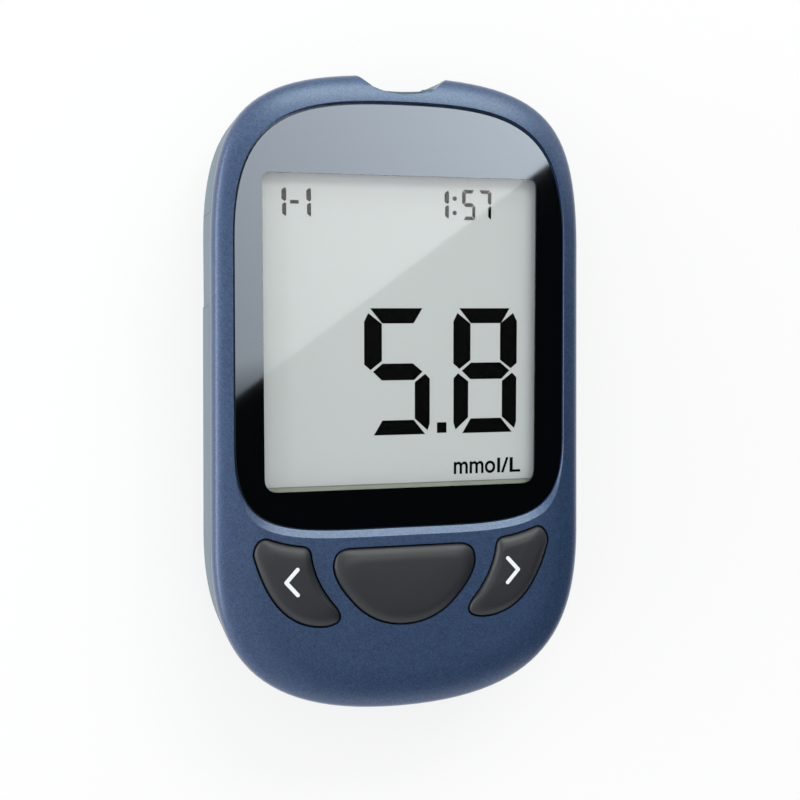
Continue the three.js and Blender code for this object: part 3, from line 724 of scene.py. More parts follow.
for x, y in boss_spots:
    boss_top = (ledge_bottom if y > 0 else keypad_ceiling) + overlap
    cut(front_shell, post(shank_bore + boss_wall, x, y, board_bottom + slack, boss_top), "UNION")
    cut(front_shell, post(shank_bore, x, y, board_bottom, screw_end + slack))
smooth(front_shell, sharp_angle=22)

# Sprayed metallic lacquer: a dark blue base under clear coat, with aluminium flakes that glint
# one by one. Real flakes are about 0.03 mm, and are drawn 0.16 mm wide so that they show.
flake_width = 0.16 * mm
blue_lacquer = start_material("blue_metallic_lacquer_on_abs")
place = add_node(blue_lacquer, "TexCoord")
flakes = add_node(
    blue_lacquer, "TexVoronoi", inputs={"Vector": place.outputs["Object"], "Scale": 1 / flake_width}
)
flake_light = add_node(blue_lacquer, "SeparateColor", inputs={"Color": flakes.outputs["Color"]})
flake_share = add_node(
    blue_lacquer, "MapRange", inputs={"Value": flake_light.outputs[0], "To Min": 0.0, "To Max": 0.3}
)
lacquer_colour = add_node(
    blue_lacquer,
    "Mix",
    {"data_type": "RGBA"},
    {0: flake_share.outputs[0], 6: linear("253c62"), 7: linear("6085b6")},
)
lacquer = add_node(
    blue_lacquer,
    "BsdfPrincipled",
    inputs={
        "Base Color": lacquer_colour.outputs[2],
        "Metallic": 0.52,
        "Roughness": 0.45,
        "Coat Weight": 1.0,
        "Coat Roughness": 0.3,
    },
)
dress(front_shell, end_material(blue_lacquer, lacquer.outputs[0]))

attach(front_shell, "case")
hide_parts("front_shell")

# Rear cover
# The lower half of the case, moulded in pale grey ABS with a spark-eroded grain. It has the battery
# bay, the landing for the test strip, and deep bores for the four screws that hold it to the shell.
back_roll_width = 7.0 * mm
back_roll_height = 8.5 * mm
back_roll_steps = 18
bay_half = 11.05 * mm
bay_low = -30.05 * mm
bay_high = 20.05 * mm
bay_wall = 1.2 * mm
bay_roof = (13.1 * mm, 13.9 * mm)
door_ledge = 1.8 * mm
door_top = 2.0 * mm
rim_width = 2.4 * mm
slot_half = 3.7 * mm
slot_floor = 17.0 * mm
cover_notch = (7.3 * mm, 1.95 * mm, (0.76, 0.77))
landing_run = 8.0 * mm
landing_lean = (1.1 * mm, 11.0 * mm)  # how far the landing's wall leans out, over what height
landing_wall = 1.2 * mm
grip_depth = 0.25 * mm
grip_span = (13.6 * mm, 27.6 * mm)
grip_foot = 6.0 * mm
head_bore = 1.95 * mm
screw_seat = 12.0 * mm
door_half = 12.55 * mm
door_axis = (-30.65 * mm, 1.1 * mm)  # along Y and up Z
pin_bore = 0.8 * mm
door_end = 21.55 * mm
pin_length = 1.2 * mm
tongue_half = 4.5 * mm
tongue_nose = 0.6 * mm
scoop_radius = 7.0 * mm  # of the dip beyond the door's tongue, which gives room to press it
scoop_depth = 1.1 * mm
scoop_sides = 128


def cover_solid(shell, top):
    """The rear cover's outside, or what is shell further in."""
    solid = raise_solid(case_outline(), back_roll_height, top, -shell)
    select_faces(solid, lambda middle, normal: normal.z < -0.5)
    turns = [step / back_roll_steps * math.pi / 2 for step in range(back_roll_steps + 1)]
    rise = back_roll_height - shell
    follow([(back_roll_width * (1 - math.cos(turn)), rise * math.sin(turn)) for turn in turns])
    return solid


rear_cover = cover_solid(0, seam_bottom)
rear_cover.name = "grey_rear_cover"
hollow = cover_solid(wall, seam_bottom + overrun)
port_foot = slot_floor - landing_run
cut(hollow, block((-port_half, port_half), (port_inner, case_top), (port_foot, seam_bottom + 2 * overrun)))
rim_half = door_half + slack + rim_width
rim_low = bay_low - door_ledge - rim_width
rim_high = bay_high + door_ledge + rim_width
cut(hollow, block((-rim_half, rim_half), (rim_low, rim_high), (0, door_top + slack + bay_wall)))
bay_outside = ((-bay_half - bay_wall, bay_half + bay_wall), (bay_low - bay_wall, bay_high + bay_wall))
cut(hollow, block(*bay_outside, (door_top, bay_roof[1])))
for x, y in boss_spots:
    cut(hollow, post(head_bore + boss_wall, x, y, 0, board_bottom - slack))
cut(rear_cover, hollow)
cut(rear_cover, block((-bay_half, bay_half), (bay_low, bay_high), (-overrun, bay_roof[0])))
ledge_x = bay_half + door_ledge
ledge_y = (bay_low - door_ledge, bay_high + door_ledge)
cut(rear_cover, block((-ledge_x, ledge_x), ledge_y, (-overrun, door_top + slack)))
deselect()
bpy.ops.mesh.primitive_cylinder_add(
    vertices=32,
    radius=pin_bore,
    depth=2 * (door_half + pin_length + slack),
    location=(0, *door_axis),
    rotation=(0, math.pi / 2, 0),
)
bpy.ops.object.transform_apply(location=True, rotation=True, scale=True)
cut(rear_cover, bpy.context.object)
ball_radius = (scoop_radius**2 + scoop_depth**2) / (2 * scoop_depth)
deselect()
bpy.ops.mesh.primitive_uv_sphere_add(
    segments=scoop_sides,
    ring_count=scoop_sides,
    radius=ball_radius,
    location=(0, door_end + slack, scoop_depth - ball_radius),
)
bpy.ops.object.transform_apply(location=True, rotation=True, scale=True)
cut(rear_cover, bpy.context.object)
tongue_slot = ((-tongue_half - slack, tongue_half + slack), (door_end, door_end + tongue_nose + 2 * slack))
cut(rear_cover, block(*tongue_slot, (-overrun, door_top + slack)))
landing = raise_solid(notch_outline(*cover_notch), slot_floor - landing_wall, seam_bottom + overrun)
select_faces(landing, lambda middle, normal: normal.z < -0.5)
bpy.ops.mesh.extrude_region_move(TRANSFORM_OT_translate={"value": (0, landing_lean[0], -landing_lean[1])})
bpy.ops.object.mode_set(mode="OBJECT")
cut(rear_cover, landing)
strip_slot = ((-slot_half, slot_half), (port_inner - overrun, case_top + overrun))
cut(rear_cover, block(*strip_slot, (slot_floor, seam_bottom + overrun)))
for side in (-1, 1):
    near = side * (shoulder - grip_depth)
    far = side * (shoulder + overrun)
    cut(rear_cover, block((min(near, far), max(near, far)), grip_span, (grip_foot, seam_bottom + overrun)))
for x, y in boss_spots:
    cut(rear_cover, post(shank_bore, x, y, -overrun, board_bottom + overrun))
    cut(rear_cover, post(head_bore, x, y, -overrun, screw_seat))
round_edges(rear_cover, edge_round)
smooth(rear_cover)

# Moulded ABS with a fine eroded grain: soft broad light, no glints. The real grain is about
# 0.1 mm, and is drawn 0.3 mm wide so that it shows. Its gloss drifts over some 14 mm.
grain_width = 0.3 * mm
drift_width = 14 * mm
gloss_drift = 0.06


def moulded(name, colour, roughness, grain, depth, specular=0.5, mottle=0.07):
    """Moulded plastic or rubber: an even colour, a fine grain and slightly uneven gloss."""
    material = start_material(name)
    place = add_node(material, "TexCoord")
    noise = add_node(
        material, "TexNoise", inputs={"Vector": place.outputs["Object"], "Scale": 1 / grain, "Detail": 2.0}
    )
    bump = add_node(
        material, "Bump", inputs={"Height": noise.outputs["Fac"], "Strength": 0.6, "Distance": depth}
    )
    drift = add_node(
        material,
        "TexNoise",
        inputs={"Vector": place.outputs["Object"], "Scale": 1 / drift_width, "Detail": 3.0},
    )
    low, high = roughness - gloss_drift, roughness + gloss_drift
    gloss = add_node(
        material, "MapRange", inputs={"Value": drift.outputs["Fac"], "To Min": low, "To Max": high}
    )
    low, high = 1 - mottle, 1 + mottle
    tint = add_node(
        material, "MapRange", inputs={"Value": noise.outputs["Fac"], "To Min": low, "To Max": high}
    )
    shade = add_node(
        material,
        "Mix",
        {"data_type": "RGBA", "blend_type": "MULTIPLY"},
        {0: 1.0, 6: linear(colour), 7: tint.outputs[0]},
    )
    plastic = add_node(
        material,
        "BsdfPrincipled",
        inputs={
            "Base Color": shade.outputs[2],
            "Roughness": gloss.outputs[0],
            "Specular IOR Level": specular,
            "Normal": bump.outputs[0],
        },
    )
    return end_material(material, plastic.outputs[0])


grey_abs = moulded(
    "pale_grey_moulded_abs", "6a7d89", roughness=0.5, grain=grain_width, depth=0.02 * mm, specular=0.3
)
dress(rear_cover, grey_abs)
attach(rear_cover, "case")
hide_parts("rear_cover")

# Display lens
# One flat sheet of acrylic dropped into the front shell's pocket, printed black behind but for the
# window. Its glossy border hides the print, and lets light past it as clear acrylic does.
lens_back = lens_low.z
print_thickness = 0.12 * mm
print_clearance = 0.3 * mm
border_plate = 0.15 * mm
border_wall = 1.0 * mm
border_round = 0.05 * mm
window_corners = (2.2 * mm, 1.2 * mm)
corner_steps = 8
pane_thickness = 0.3 * mm
pane_gap = 0.01 * mm


def rounded_window(left, right, bottom, top, corners):
    """A rectangle with round corners, lower and upper ones of their own radius."""
    low, high = corners
    strokes = [
        [(left, bottom + low)],
        [(left, bottom), (left + low, bottom)],
        [(right - low, bottom)],
        [(right, bottom), (right, bottom + low)],
        [(right, top - high)],
        [(right, top), (right - high, top)],
        [(left + high, top)],
        [(left, top), (left, top - high)],
    ]
    return trace((left, top - high), strokes, corner_steps)


def window_outline():
    return rounded_window(-window_half, window_right, window_low, window_high, window_corners)


def ink_window_walls(piece):
    """Gives the upright faces along the window's edge the piece's second material, the black ink."""
    select_faces(
        piece,
        lambda middle, normal: abs(normal.z) < 0.5
        and abs(middle.x) < window_half + slack
        and window_low - slack < middle.y < window_high + slack,
    )
    piece.active_material_index = 1
    bpy.ops.object.material_slot_assign()
    bpy.ops.object.mode_set(mode="OBJECT")


black_print = raise_solid(lens_outline(lens_trim), lens_back, lens_back + print_thickness)
black_print.name = "black_lens_print"
cut(black_print, raise_solid(window_outline(), lens_back - overrun, lens_face + overrun, print_clearance))
smooth(black_print)

# Screen printed ink: a flat deep black, which also hides the acrylic's edges round the window.
black_ink = moulded(
    "black_screen_print", "050506", roughness=0.5, grain=grain_width, depth=0.001 * mm, specular=0.2
)
dress(black_print, black_ink)
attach(black_print, "case")
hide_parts("display_lens")

lens_border = raise_solid(lens_outline(lens_trim), lens_back + print_thickness + hair, lens_face)
lens_border.name = "black_lens_border"
border_inside = lens_face - border_plate
cut(lens_border, raise_solid(lens_outline(lens_trim), lens_back - overrun, border_inside, -border_wall))
round_edges(lens_border, border_round)
cut(lens_border, raise_solid(window_outline(), lens_back - overrun, lens_face + overrun))
smooth(lens_border)
lens_border.visible_diffuse = False
lens_border.visible_shadow = False

# Polished acrylic over black print: it mirrors like piano lacquer, a touch blue, and wipe marks
# some 6 mm wide make its gloss slightly uneven.
wipe_width = 6 * mm
border_acrylic = start_material("acrylic_printed_black_behind")
place = add_node(border_acrylic, "TexCoord")
wipes = add_node(
    border_acrylic, "TexNoise", inputs={"Vector": place.outputs["Object"], "Scale": 1 / wipe_width}
)
gloss = add_node(
    border_acrylic, "MapRange", inputs={"Value": wipes.outputs["Fac"], "To Min": 0.02, "To Max": 0.05}
)
acrylic = add_node(
    border_acrylic,
    "BsdfPrincipled",
    inputs={
        "Base Color": linear("050607"),
        "Roughness": gloss.outputs[0],
        "IOR": 1.6,
        "Specular IOR Level": 1.0,
        "Specular Tint": linear("e4f1ff"),
    },
)
dress(lens_border, end_material(border_acrylic, acrylic.outputs[0]), black_ink)
ink_window_walls(lens_border)
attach(lens_border, "case")
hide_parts("display_lens")

pane = raise_solid(window_outline(), lens_face - pane_thickness, lens_face, -pane_gap)
pane.name = "clear_window_pane"
smooth(pane)

# Clear acrylic: the display shows through it, under a faint mirror image that only its outer side
# gives. A hard coat lowers its IOR from acrylic's 1.49.
clear_acrylic = start_material("clear_acrylic")
fresnel = add_node(clear_acrylic, "Fresnel", inputs={"IOR": 1.4})
inner_side = add_node(clear_acrylic, "NewGeometry")
outer_side = add_node(
    clear_acrylic,
    "MapRange",
    inputs={"Value": inner_side.outputs["Backfacing"], "To Min": fresnel.outputs[0], "To Max": 0.0},
)
see = add_node(clear_acrylic, "BsdfTransparent", inputs={"Color": linear("fbfbfb")})
shine = add_node(clear_acrylic, "BsdfGlossy", inputs={"Color": linear("ffffff"), "Roughness": 0.03})
pane_mix = add_node(
    clear_acrylic, "MixShader", inputs={0: outer_side.outputs[0], 1: see.outputs[0], 2: shine.outputs[0]}
)
dress(pane, end_material(clear_acrylic, pane_mix.outputs[0]), black_ink)
ink_window_walls(pane)
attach(pane, "case")
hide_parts("display_lens")

# Display
# A segment display: two sheets of glass with a pale reflecting film in front, which stops short
# of the lower edge. Dark segments show the reading, the date and the time.
glass_low, glass_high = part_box("lcd_cell")
film_top = glass_high.z
film_thickness = 0.2 * mm
film_sink = 0.02 * mm  # how far the film lies below its segments
film_inset = 0.4 * mm
film_margin = 0.35 * mm
film_corner = 0.3 * mm
film_round = 0.04 * mm
contact_ledge = 2.6 * mm
glass_round = 0.1 * mm
half_way = (glass_low.z + glass_high.z) / 2
glass_across = (glass_low.x, glass_high.x)

display_glass = block(glass_across, (glass_low.y, glass_high.y), (half_way, film_top - film_thickness))
display_glass.name = "display_glass"
cut(
    display_glass,
    block(glass_across, (glass_low.y + contact_ledge, glass_high.y), (glass_low.z, half_way)),
    "UNION",
)
round_edges(display_glass, glass_round)
smooth(display_glass)

# Soda-lime glass: a pale greenish edge that shows below the film, glossier than the film.
soda_glass = moulded("greenish_soda_glass", "b4baac", roughness=0.25, grain=1.5 * mm, depth=0.002 * mm)
dress(display_glass, soda_glass)
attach(display_glass, "case")
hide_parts("lcd_cell")

film = raise_solid(
    rounded_window(
        glass_low.x + film_inset,
        glass_high.x - film_inset,
        window_low + film_margin,
        glass_high.y - film_inset,
        (film_corner, film_corner),
    ),
    film_top - film_thickness,
    film_top - film_sink,
)
film.name = "polarising_film"
round_edges(film, film_round)
smooth(film)

# Matt polarising film over a reflector: an even pale grey. Its real grain is about 0.02 mm, and is
# drawn 0.35 mm wide and very faint.
display_grain = 0.35 * mm
film_paint = moulded(
    "matt_polarising_film",
    "ced3d4",
    roughness=0.4,
    grain=display_grain,
    depth=0.0002 * mm,
    specular=0.2,
    mottle=0.008,
)
dress(film, film_paint)
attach(film, "case")
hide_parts("lcd_cell")

# Corners of a digit's segments in shares of its width and height; the right upper and
# left lower ones are these mirrored.
segment_corners = {
    "a": [(0.089, 1.0), (0.882, 1.0), (0.748, 0.881), (0.271, 0.881)],
    "f": [(0.062, 0.962), (0.266, 0.877), (0.266, 0.586), (0.096, 0.516), (0.0, 0.559), (0.0, 0.895)],
    "g": [(0.132, 0.501), (0.275, 0.565), (0.736, 0.565), (0.884, 0.499), (0.757, 0.433), (0.264, 0.433)],
    "c": [(0.926, 0.481), (0.996, 0.442), (0.996, 0.084), (0.964, 0.03), (0.767, 0.126), (0.767, 0.415)],
    "d": [(0.144, 0.0), (0.927, 0.0), (0.749, 0.116), (0.273, 0.116)],
}
segment_corners["b"] = [(1 - x, y) for x, y in segment_corners["f"]]
segment_corners["e"] = [(1 - x, y) for x, y in segment_corners["c"]]
segment_low = film_top - 0.05 * mm
segments = []


def weld(piece):
    """Merges the points that lie on each other, and turns every face outwards."""
    make_active(piece)
    bpy.ops.object.mode_set(mode="EDIT")
    bpy.ops.mesh.select_all(action="SELECT")
    bpy.ops.mesh.remove_doubles(threshold=same_point)
    bpy.ops.mesh.normals_make_consistent(inside=False)
    bpy.ops.object.mode_set(mode="OBJECT")
    return piece


def fill_segment(corners):
    """A dark patch of the display, between straight lines."""
    patch = raise_solid(trace(corners[-1], [[corner] for corner in corners], 1), segment_low, film_top)
    segments.append(patch)


def show_digit(lit, left, bottom, width, height):
    """Lights a digit's segments, given by their letters."""
    for letter in lit:
        fill_segment([(left + x * width, bottom + y * height) for x, y in segment_corners[letter]])


digits = [  # the lit segments, then left, bottom, width and height in mm
    ("acdfg", -5.6, -6.06, 10.46, 19.5),
    ("abcdefg", 8.65, -6.06, 10.46, 19.5),
    ("bc", -20.08, 26.95, 2.65, 4.62),
    ("bc", -16.33, 26.95, 2.65, 4.62),
    ("bc", 5.23, 27.05, 2.65, 4.62),
    ("acdfg", 10.0, 27.05, 2.16, 4.62),
    ("abc", 12.6, 27.05, 2.16, 4.62),
]
bars = [(-16.86, 28.98, -15.55, 29.52), (6.01, -5.93, 7.55, -4.29)]  # the dash and the point, in mm
colon = [(8.8, 28.11), (8.8, 30.3)]
colon_radius = 0.35 * mm
unit_parts = (("mmo", 8.62 * mm, 6.85 * mm, 1.2), ("l/L", 15.75 * mm, 3.87 * mm, 1.0))
unit_middle = -12.43 * mm
unit_size = 3.3 * mm
unit_swell = 0.05 * mm

for lit, *place in digits:
    show_digit(lit, *[value * mm for value in place])
for bar in bars:
    left, bottom, right, top = [value * mm for value in bar]
    fill_segment([(left, bottom), (right, bottom), (right, top), (left, top)])
for x, y in colon:
    segments.append(post(colon_radius, x * mm, y * mm, segment_low, film_top, sides=16))
for letters, left, width, stretch in unit_parts:
    deselect()
    bpy.ops.object.text_add()
    unit = bpy.context.object
    unit.data.body = letters
    unit.data.size = unit_size
    unit.data.offset = unit_swell
    unit.data.extrude = (film_top - segment_low) / 2
    bpy.ops.object.convert(target="MESH")
    unit.scale = (width / unit.dimensions.x, stretch, 1)
    unit.location = (left, unit_middle, (film_top + segment_low) / 2)
    bpy.ops.object.transform_apply(location=True, rotation=True, scale=True)
    segments.append(weld(unit))
deselect()
for patch in segments:
    patch.select_set(True)
bpy.context.view_layer.objects.active = unit
bpy.ops.object.join()
reading = bpy.context.object
reading.name = "display_reading"

# Liquid crystal switched dark: flat black segments with hardly any gloss of their own.
dark_crystal = moulded(
    "dark_liquid_crystal", "040505", roughness=0.5, grain=display_grain, depth=0.0005 * mm, specular=0.05
)
dress(reading, dark_crystal)
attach(reading, "case")
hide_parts("lcd_cell")

# Keys
# Three caps moulded in charcoal rubber-coated plastic, pillow shaped. Each has a flange that keeps it
# in the shell and a stem over a snap dome on the board.
key_top = 22.86 * mm
key_gap = 0.25 * mm
flange = (19.1 * mm, 19.9 * mm)
flange_width = 0.7 * mm
flange_overlap = 0.4 * mm  # of the cap and its flange
stem_bottom = 16.62 * mm  # it just meets its dome when the key is down
stem_radius = 1.6 * mm
pillow = [  # its margin's profile, in mm inwards and up
    (0.0, 0.0),
    (0.05, 0.14),
    (0.14, 0.26),
    (0.28, 0.37),
    (0.5, 0.5),
    (0.8, 0.64),
    (1.1, 0.755),
    (1.4, 0.84),
    (1.75, 0.9),
    (2.15, 0.935),
    (2.6, 0.95),
]
crown_height = 0.05 * mm
crown_shares = (0.8, 0.6, 0.4, 0.2)
side_stem_x = 17.15 * mm
side_stem_y = -27.41 * mm
stem_spots = {
    "left": (-side_stem_x, side_stem_y),
    "middle": (0, -28.34 * mm),
    "right": (side_stem_x, side_stem_y),
}
key_caps = {}

# Soft-touch coating on moulded plastic: dark charcoal with a broad dull sheen. Its real grain is
# under 0.05 mm, and is drawn 0.2 mm wide so that it shows.
key_rubber = moulded(
    "charcoal_soft_touch_coating", "26282d", roughness=0.42, grain=0.2 * mm, depth=0.004 * mm, specular=0.6
)


def climb_in(centre, share, rise):
    """Raises the face that is selected in edit mode, and draws it in towards a centre."""
    bpy.ops.mesh.extrude_region_move(TRANSFORM_OT_translate={"value": (0, 0, rise)})
    bpy.ops.transform.resize(value=(share[0], share[1], 1), center_override=(*centre, 0))


for name, side in sides_of_keys.items():
    shoulder_height = key_top - pillow[-1][1] * mm - crown_height
    cap = raise_solid(key_outline(side), flange[0] + flange_overlap, shoulder_height, -key_gap)
    cap.name = name + "_key_cap"
    select_faces(cap, lambda middle, normal: normal.z > 0.5)
    half_size = [cap.dimensions[axis] / 2 for axis in (0, 1)]
    reached = (1.0, 1.0)
    for before, after in zip(pillow, pillow[1:]):
        wanted = [1 - after[0] * mm / half_size[axis] for axis in (0, 1)]
        share = [wanted[axis] / reached[axis] for axis in (0, 1)]
        climb_in(stem_spots[name], share, (after[1] - before[1]) * mm)
        reached = wanted
    below = 1.0
    for share in crown_shares:
        climb_in(stem_spots[name], (share / below, share / below), crown_height * (below**2 - share**2))
        below = share
    bpy.ops.object.mode_set(mode="OBJECT")
    cut(cap, raise_solid(key_outline(side), *flange, flange_width - key_gap), "UNION")
    x, y = stem_spots[name]
    cut(cap, post(stem_radius, x, y, stem_bottom, flange[1]), "UNION")
    bpy.ops.object.mode_set(mode="EDIT")
    bpy.ops.mesh.select_all(action="SELECT")
    bpy.ops.mesh.quads_convert_to_tris()
    bpy.ops.object.mode_set(mode="OBJECT")
    smooth(cap, sharp_angle=40)
    dress(cap, key_rubber)
    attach(cap, name + "_key")
    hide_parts("key_" + name)
    key_caps[name] = cap

# Arrows on the side keys
# White marks pad printed on the coating of the two side keys, which point away from the middle
# and follow the curve of the key under them.
arrow_corners = [Vector(corner) * mm for corner in ((-16.57, -25.37), (-18.28, -27.24), (-16.56, -29.2))]
arrow_shift = -0.28 * mm  # of both to the left
arrow_width = 0.6 * mm
print_height = 0.03 * mm

# Pad printed ink: a flat opaque white with soft light.
white_print = moulded("white_pad_print", "eceff1", roughness=0.5, grain=0.4 * mm, depth=0.0005 * mm)


def copied(piece, shift):
    """A copy of a piece with its own mesh, moved by shift."""
    make_active(piece)
    bpy.ops.object.duplicate()
    bpy.ops.transform.translate(value=shift)
    bpy.ops.object.transform_apply(location=True, rotation=True, scale=True)
    return bpy.context.object


tip, vertex, foot = arrow_corners
arms = [(vertex - tip).normalized(), (foot - vertex).normalized()]
sides = [Vector((-arm.y, arm.x)) * arrow_width / 2 for arm in arms]
lean = (sides[0] + sides[1]).normalized()
mitre = lean * arrow_width / 2 / lean.dot(sides[0].normalized())
arrow_outline = [
    tip + sides[0],
    vertex + mitre,
    foot + sides[1],
    foot - sides[1],
    vertex - sides[1],
    vertex - sides[0],
    tip - sides[0],
]
for name, mirror in (("left", 1), ("right", -1)):
    outline = [(mirror * point.x + arrow_shift, point.y) for point in arrow_outline]
    arrow = raise_solid(trace(outline[-1], [[point] for point in outline], 1), face, key_top + overrun)
    arrow.name = name + "_arrow_print"
    for corner in arrow_corners:
        x = mirror * corner.x + arrow_shift
        cut(arrow, post(arrow_width / 2, x, corner.y, face, key_top + overrun, sides=24), "UNION")
    cut(arrow, copied(key_caps[name], (0, 0, print_height)), "INTERSECT")
    bpy.ops.object.shade_flat()
    dress(arrow, white_print)
    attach(arrow, name + "_key")

# Battery door
# A plate moulded in the cover's grey ABS. It swings on two pins at the keys' end, and a springy
# tongue with grip ridges latches it at the strip end.
door_low = 0.2 * mm
door_thickness = 1.8 * mm
pin_radius = 0.55 * mm
tongue_length = 6.0 * mm
tongue_slit = 0.8 * mm
ridge_start = 1.0 * mm  # from the door's latched end to the first one
ridge_pitch = 1.2 * mm
ridge_count = 4
ridge_half = 3.0 * mm
ridge_width = 1.1 * mm  # at its root, which lies inside the plate
ridge_root = 0.1 * mm
ridge_flare = 1.25  # how much a side runs out for its height
ridge_height = 0.16 * mm
axis_y, axis_z = door_axis
door = block((-door_half, door_half), (axis_y, door_end), (door_low, door_low + door_thickness))
door.name = "grey_battery_door"
for radius, half, sides in ((door_thickness / 2, door_half, 48), (pin_radius, door_half + pin_length, 32)):
    deselect()
    bpy.ops.mesh.primitive_cylinder_add(
        vertices=sides,
        radius=radius,
        depth=2 * half,
        location=(0, *door_axis),
        rotation=(0, math.pi / 2, 0),
    )
    bpy.ops.object.transform_apply(location=True, rotation=True, scale=True)
    cut(door, bpy.context.object, "UNION")
nose_half = tongue_half - tongue_slit
nose = ((-nose_half, nose_half), (door_end - tongue_nose, door_end + tongue_nose))
cut(door, block(*nose, (axis_z, door_low + door_thickness)), "UNION")
slit_along = (door_end - tongue_length, door_end + overrun)
for left in (-tongue_half, nose_half):
    cut(door, block((left, left + tongue_slit), slit_along, (-overrun, 2 * overrun)))
for number in range(ridge_count):
    y = door_end - ridge_start - number * ridge_pitch
    ridge = block(
        (-ridge_half, ridge_half),
        (y - ridge_width / 2, y + ridge_width / 2),
        (door_low - ridge_height, door_low + ridge_root),
    )
    select_faces(ridge, lambda middle, normal: normal.z < -0.5)
    narrower = ridge_flare * (ridge_height + ridge_root)
    shares = (1 - narrower / ridge_half, 1 - 2 * narrower / ridge_width, 1)
    bpy.ops.transform.resize(value=shares, center_override=(0, y, 0))
    bpy.ops.object.mode_set(mode="OBJECT")
    cut(door, ridge, "UNION")
round_edges(door, edge_round)
bpy.ops.object.shade_flat()
dress(door, grey_abs)
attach(door, "door")
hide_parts("battery_door")

# Cells
# Two AAA cells side by side in the bay: a drawn steel can in a printed sleeve, with a dished
# negative end and a bare pip at the positive end.
cell_spots = {"left": -5.5 * mm, "right": 5.5 * mm}
cell_pitch = cell_spots["right"] - cell_spots["left"]
cell_radius = 5.25 * mm
cell_step = 0.4 * mm  # from the sleeve in to the flat of each end
sleeve_share = 0.9  # how much of that the sleeve wraps
step_bulge = 0.12 * mm
dish = (3.2 * mm, 3.5 * mm, 0.35 * mm)  # its floor's radius, its rim's radius and its depth
pip_radius = 1.9 * mm
pip_height = 0.8 * mm
pip_round = 0.15 * mm
pip_moat = (1.0 * mm, 0.1 * mm)  # round the pip's foot: its width and its depth
cell_low, cell_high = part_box("battery_left")
cell_axis = (cell_low.z + cell_high.z) / 2
can_end = cell_high.y - pip_height
band_edge = (can_end - 11.1 * mm, can_end - 10.9 * mm)


def turned(profile, centre, sides=64):
    """A solid turned about +Y through centre. The profile is (radius, along) pairs from end to end."""
    piece = trace(profile[0], [[corner] for corner in profile[1:]], 1, closed=False)
    bpy.ops.object.mode_set(mode="EDIT")
    bpy.ops.mesh.select_all(action="SELECT")
    bpy.ops.mesh.spin(steps=sides, angle=2 * math.pi, center=(0, 0, 0), axis=(0, 1, 0))
    bpy.ops.mesh.select_all(action="SELECT")
    bpy.ops.mesh.remove_doubles(threshold=shortest_edge)
    bpy.ops.mesh.normals_make_consistent(inside=False)
    bpy.ops.transform.translate(value=(centre[0], 0, centre[1]))
    bpy.ops.object.mode_set(mode="OBJECT")
    return piece


# Printed and lacquered sleeve: black with a copper band round the positive end. Scuffs some 2 mm
# wide make its gloss uneven.
scuff_width = 2 * mm
sleeve = start_material("printed_battery_sleeve")
place = add_node(sleeve, "TexCoord")
along = add_node(sleeve, "SeparateXYZ", inputs={0: place.outputs["Object"]})
band = add_node(
    sleeve,
    "MapRange",
    {"interpolation_type": "SMOOTHSTEP"},
    {"Value": along.outputs["Y"], "From Min": band_edge[0], "From Max": band_edge[1]},
)
sleeve_colour = add_node(
    sleeve, "Mix", {"data_type": "RGBA"}, {0: band.outputs[0], 6: linear("23262b"), 7: linear("b06a34")}
)
scuffs = add_node(
    sleeve, "TexNoise", inputs={"Vector": place.outputs["Object"], "Scale": 1 / scuff_width, "Detail": 4.0}
)
sleeve_gloss = add_node(
    sleeve, "MapRange", inputs={"Value": scuffs.outputs["Fac"], "To Min": 0.22, "To Max": 0.42}
)
sleeve_film = add_node(
    sleeve,
    "BsdfPrincipled",
    inputs={"Base Color": sleeve_colour.outputs[2], "Roughness": sleeve_gloss.outputs[0], "Metallic": 0.3},
)
end_material(sleeve, sleeve_film.outputs[0])

mark_width = 0.3 * mm
mark_swing = 0.08


def plated(name, colour, roughness):
    """Plated or bare metal, with faint drawing marks a few tenths of a millimetre apart."""
    material = start_material(name)
    place = add_node(material, "TexCoord")
    marks = add_node(
        material,
        "TexNoise",
        inputs={"Vector": place.outputs["Object"], "Scale": 1 / mark_width, "Detail": 3.0},
    )
    low, high = roughness - mark_swing, roughness + mark_swing
    gloss = add_node(
        material, "MapRange", inputs={"Value": marks.outputs["Fac"], "To Min": low, "To Max": high}
    )
    metal = add_node(
        material,
        "BsdfPrincipled",
        inputs={"Base Color": linear(colour), "Metallic": 1.0, "Roughness": gloss.outputs[0]},
    )
    return end_material(material, metal.outputs[0])


# Nickel plated steel: a bright, faintly warm grey with soft reflections.
nickel = plated("nickel_plated_steel", "c9c9c6", roughness=0.28)

cell = turned(
    [
        (0, cell_low.y + dish[2]),
        (dish[0], cell_low.y + dish[2]),
        (dish[1], cell_low.y),
        (cell_radius - cell_step, cell_low.y),
        (cell_radius - step_bulge, cell_low.y + step_bulge),
        (cell_radius, cell_low.y + cell_step),
        (cell_radius, can_end - cell_step),
        (cell_radius - step_bulge, can_end - step_bulge),
        (cell_radius - cell_step, can_end),
        (pip_radius + pip_moat[0], can_end - pip_moat[1]),
        (pip_radius, can_end - pip_moat[1]),
        (pip_radius, cell_high.y - pip_round),
        (pip_radius - pip_round, cell_high.y),
        (0, cell_high.y),
    ],
    (cell_spots["left"], cell_axis),
)
smooth(cell, sharp_angle=40)
dress(cell, sleeve, nickel)
for side in cell.data.polygons:
    off_axis = math.hypot(side.center.x - cell_spots["left"], side.center.z - cell_axis)
    side.material_index = 0 if off_axis > cell_radius - sleeve_share * cell_step else 1
cells = {"left": cell, "right": copied(cell, (cell_pitch, 0, 0))}
for name, cell in cells.items():
    cell.name = name + "_aaa_cell"
    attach(cell, "case")
    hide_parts("battery_" + name)

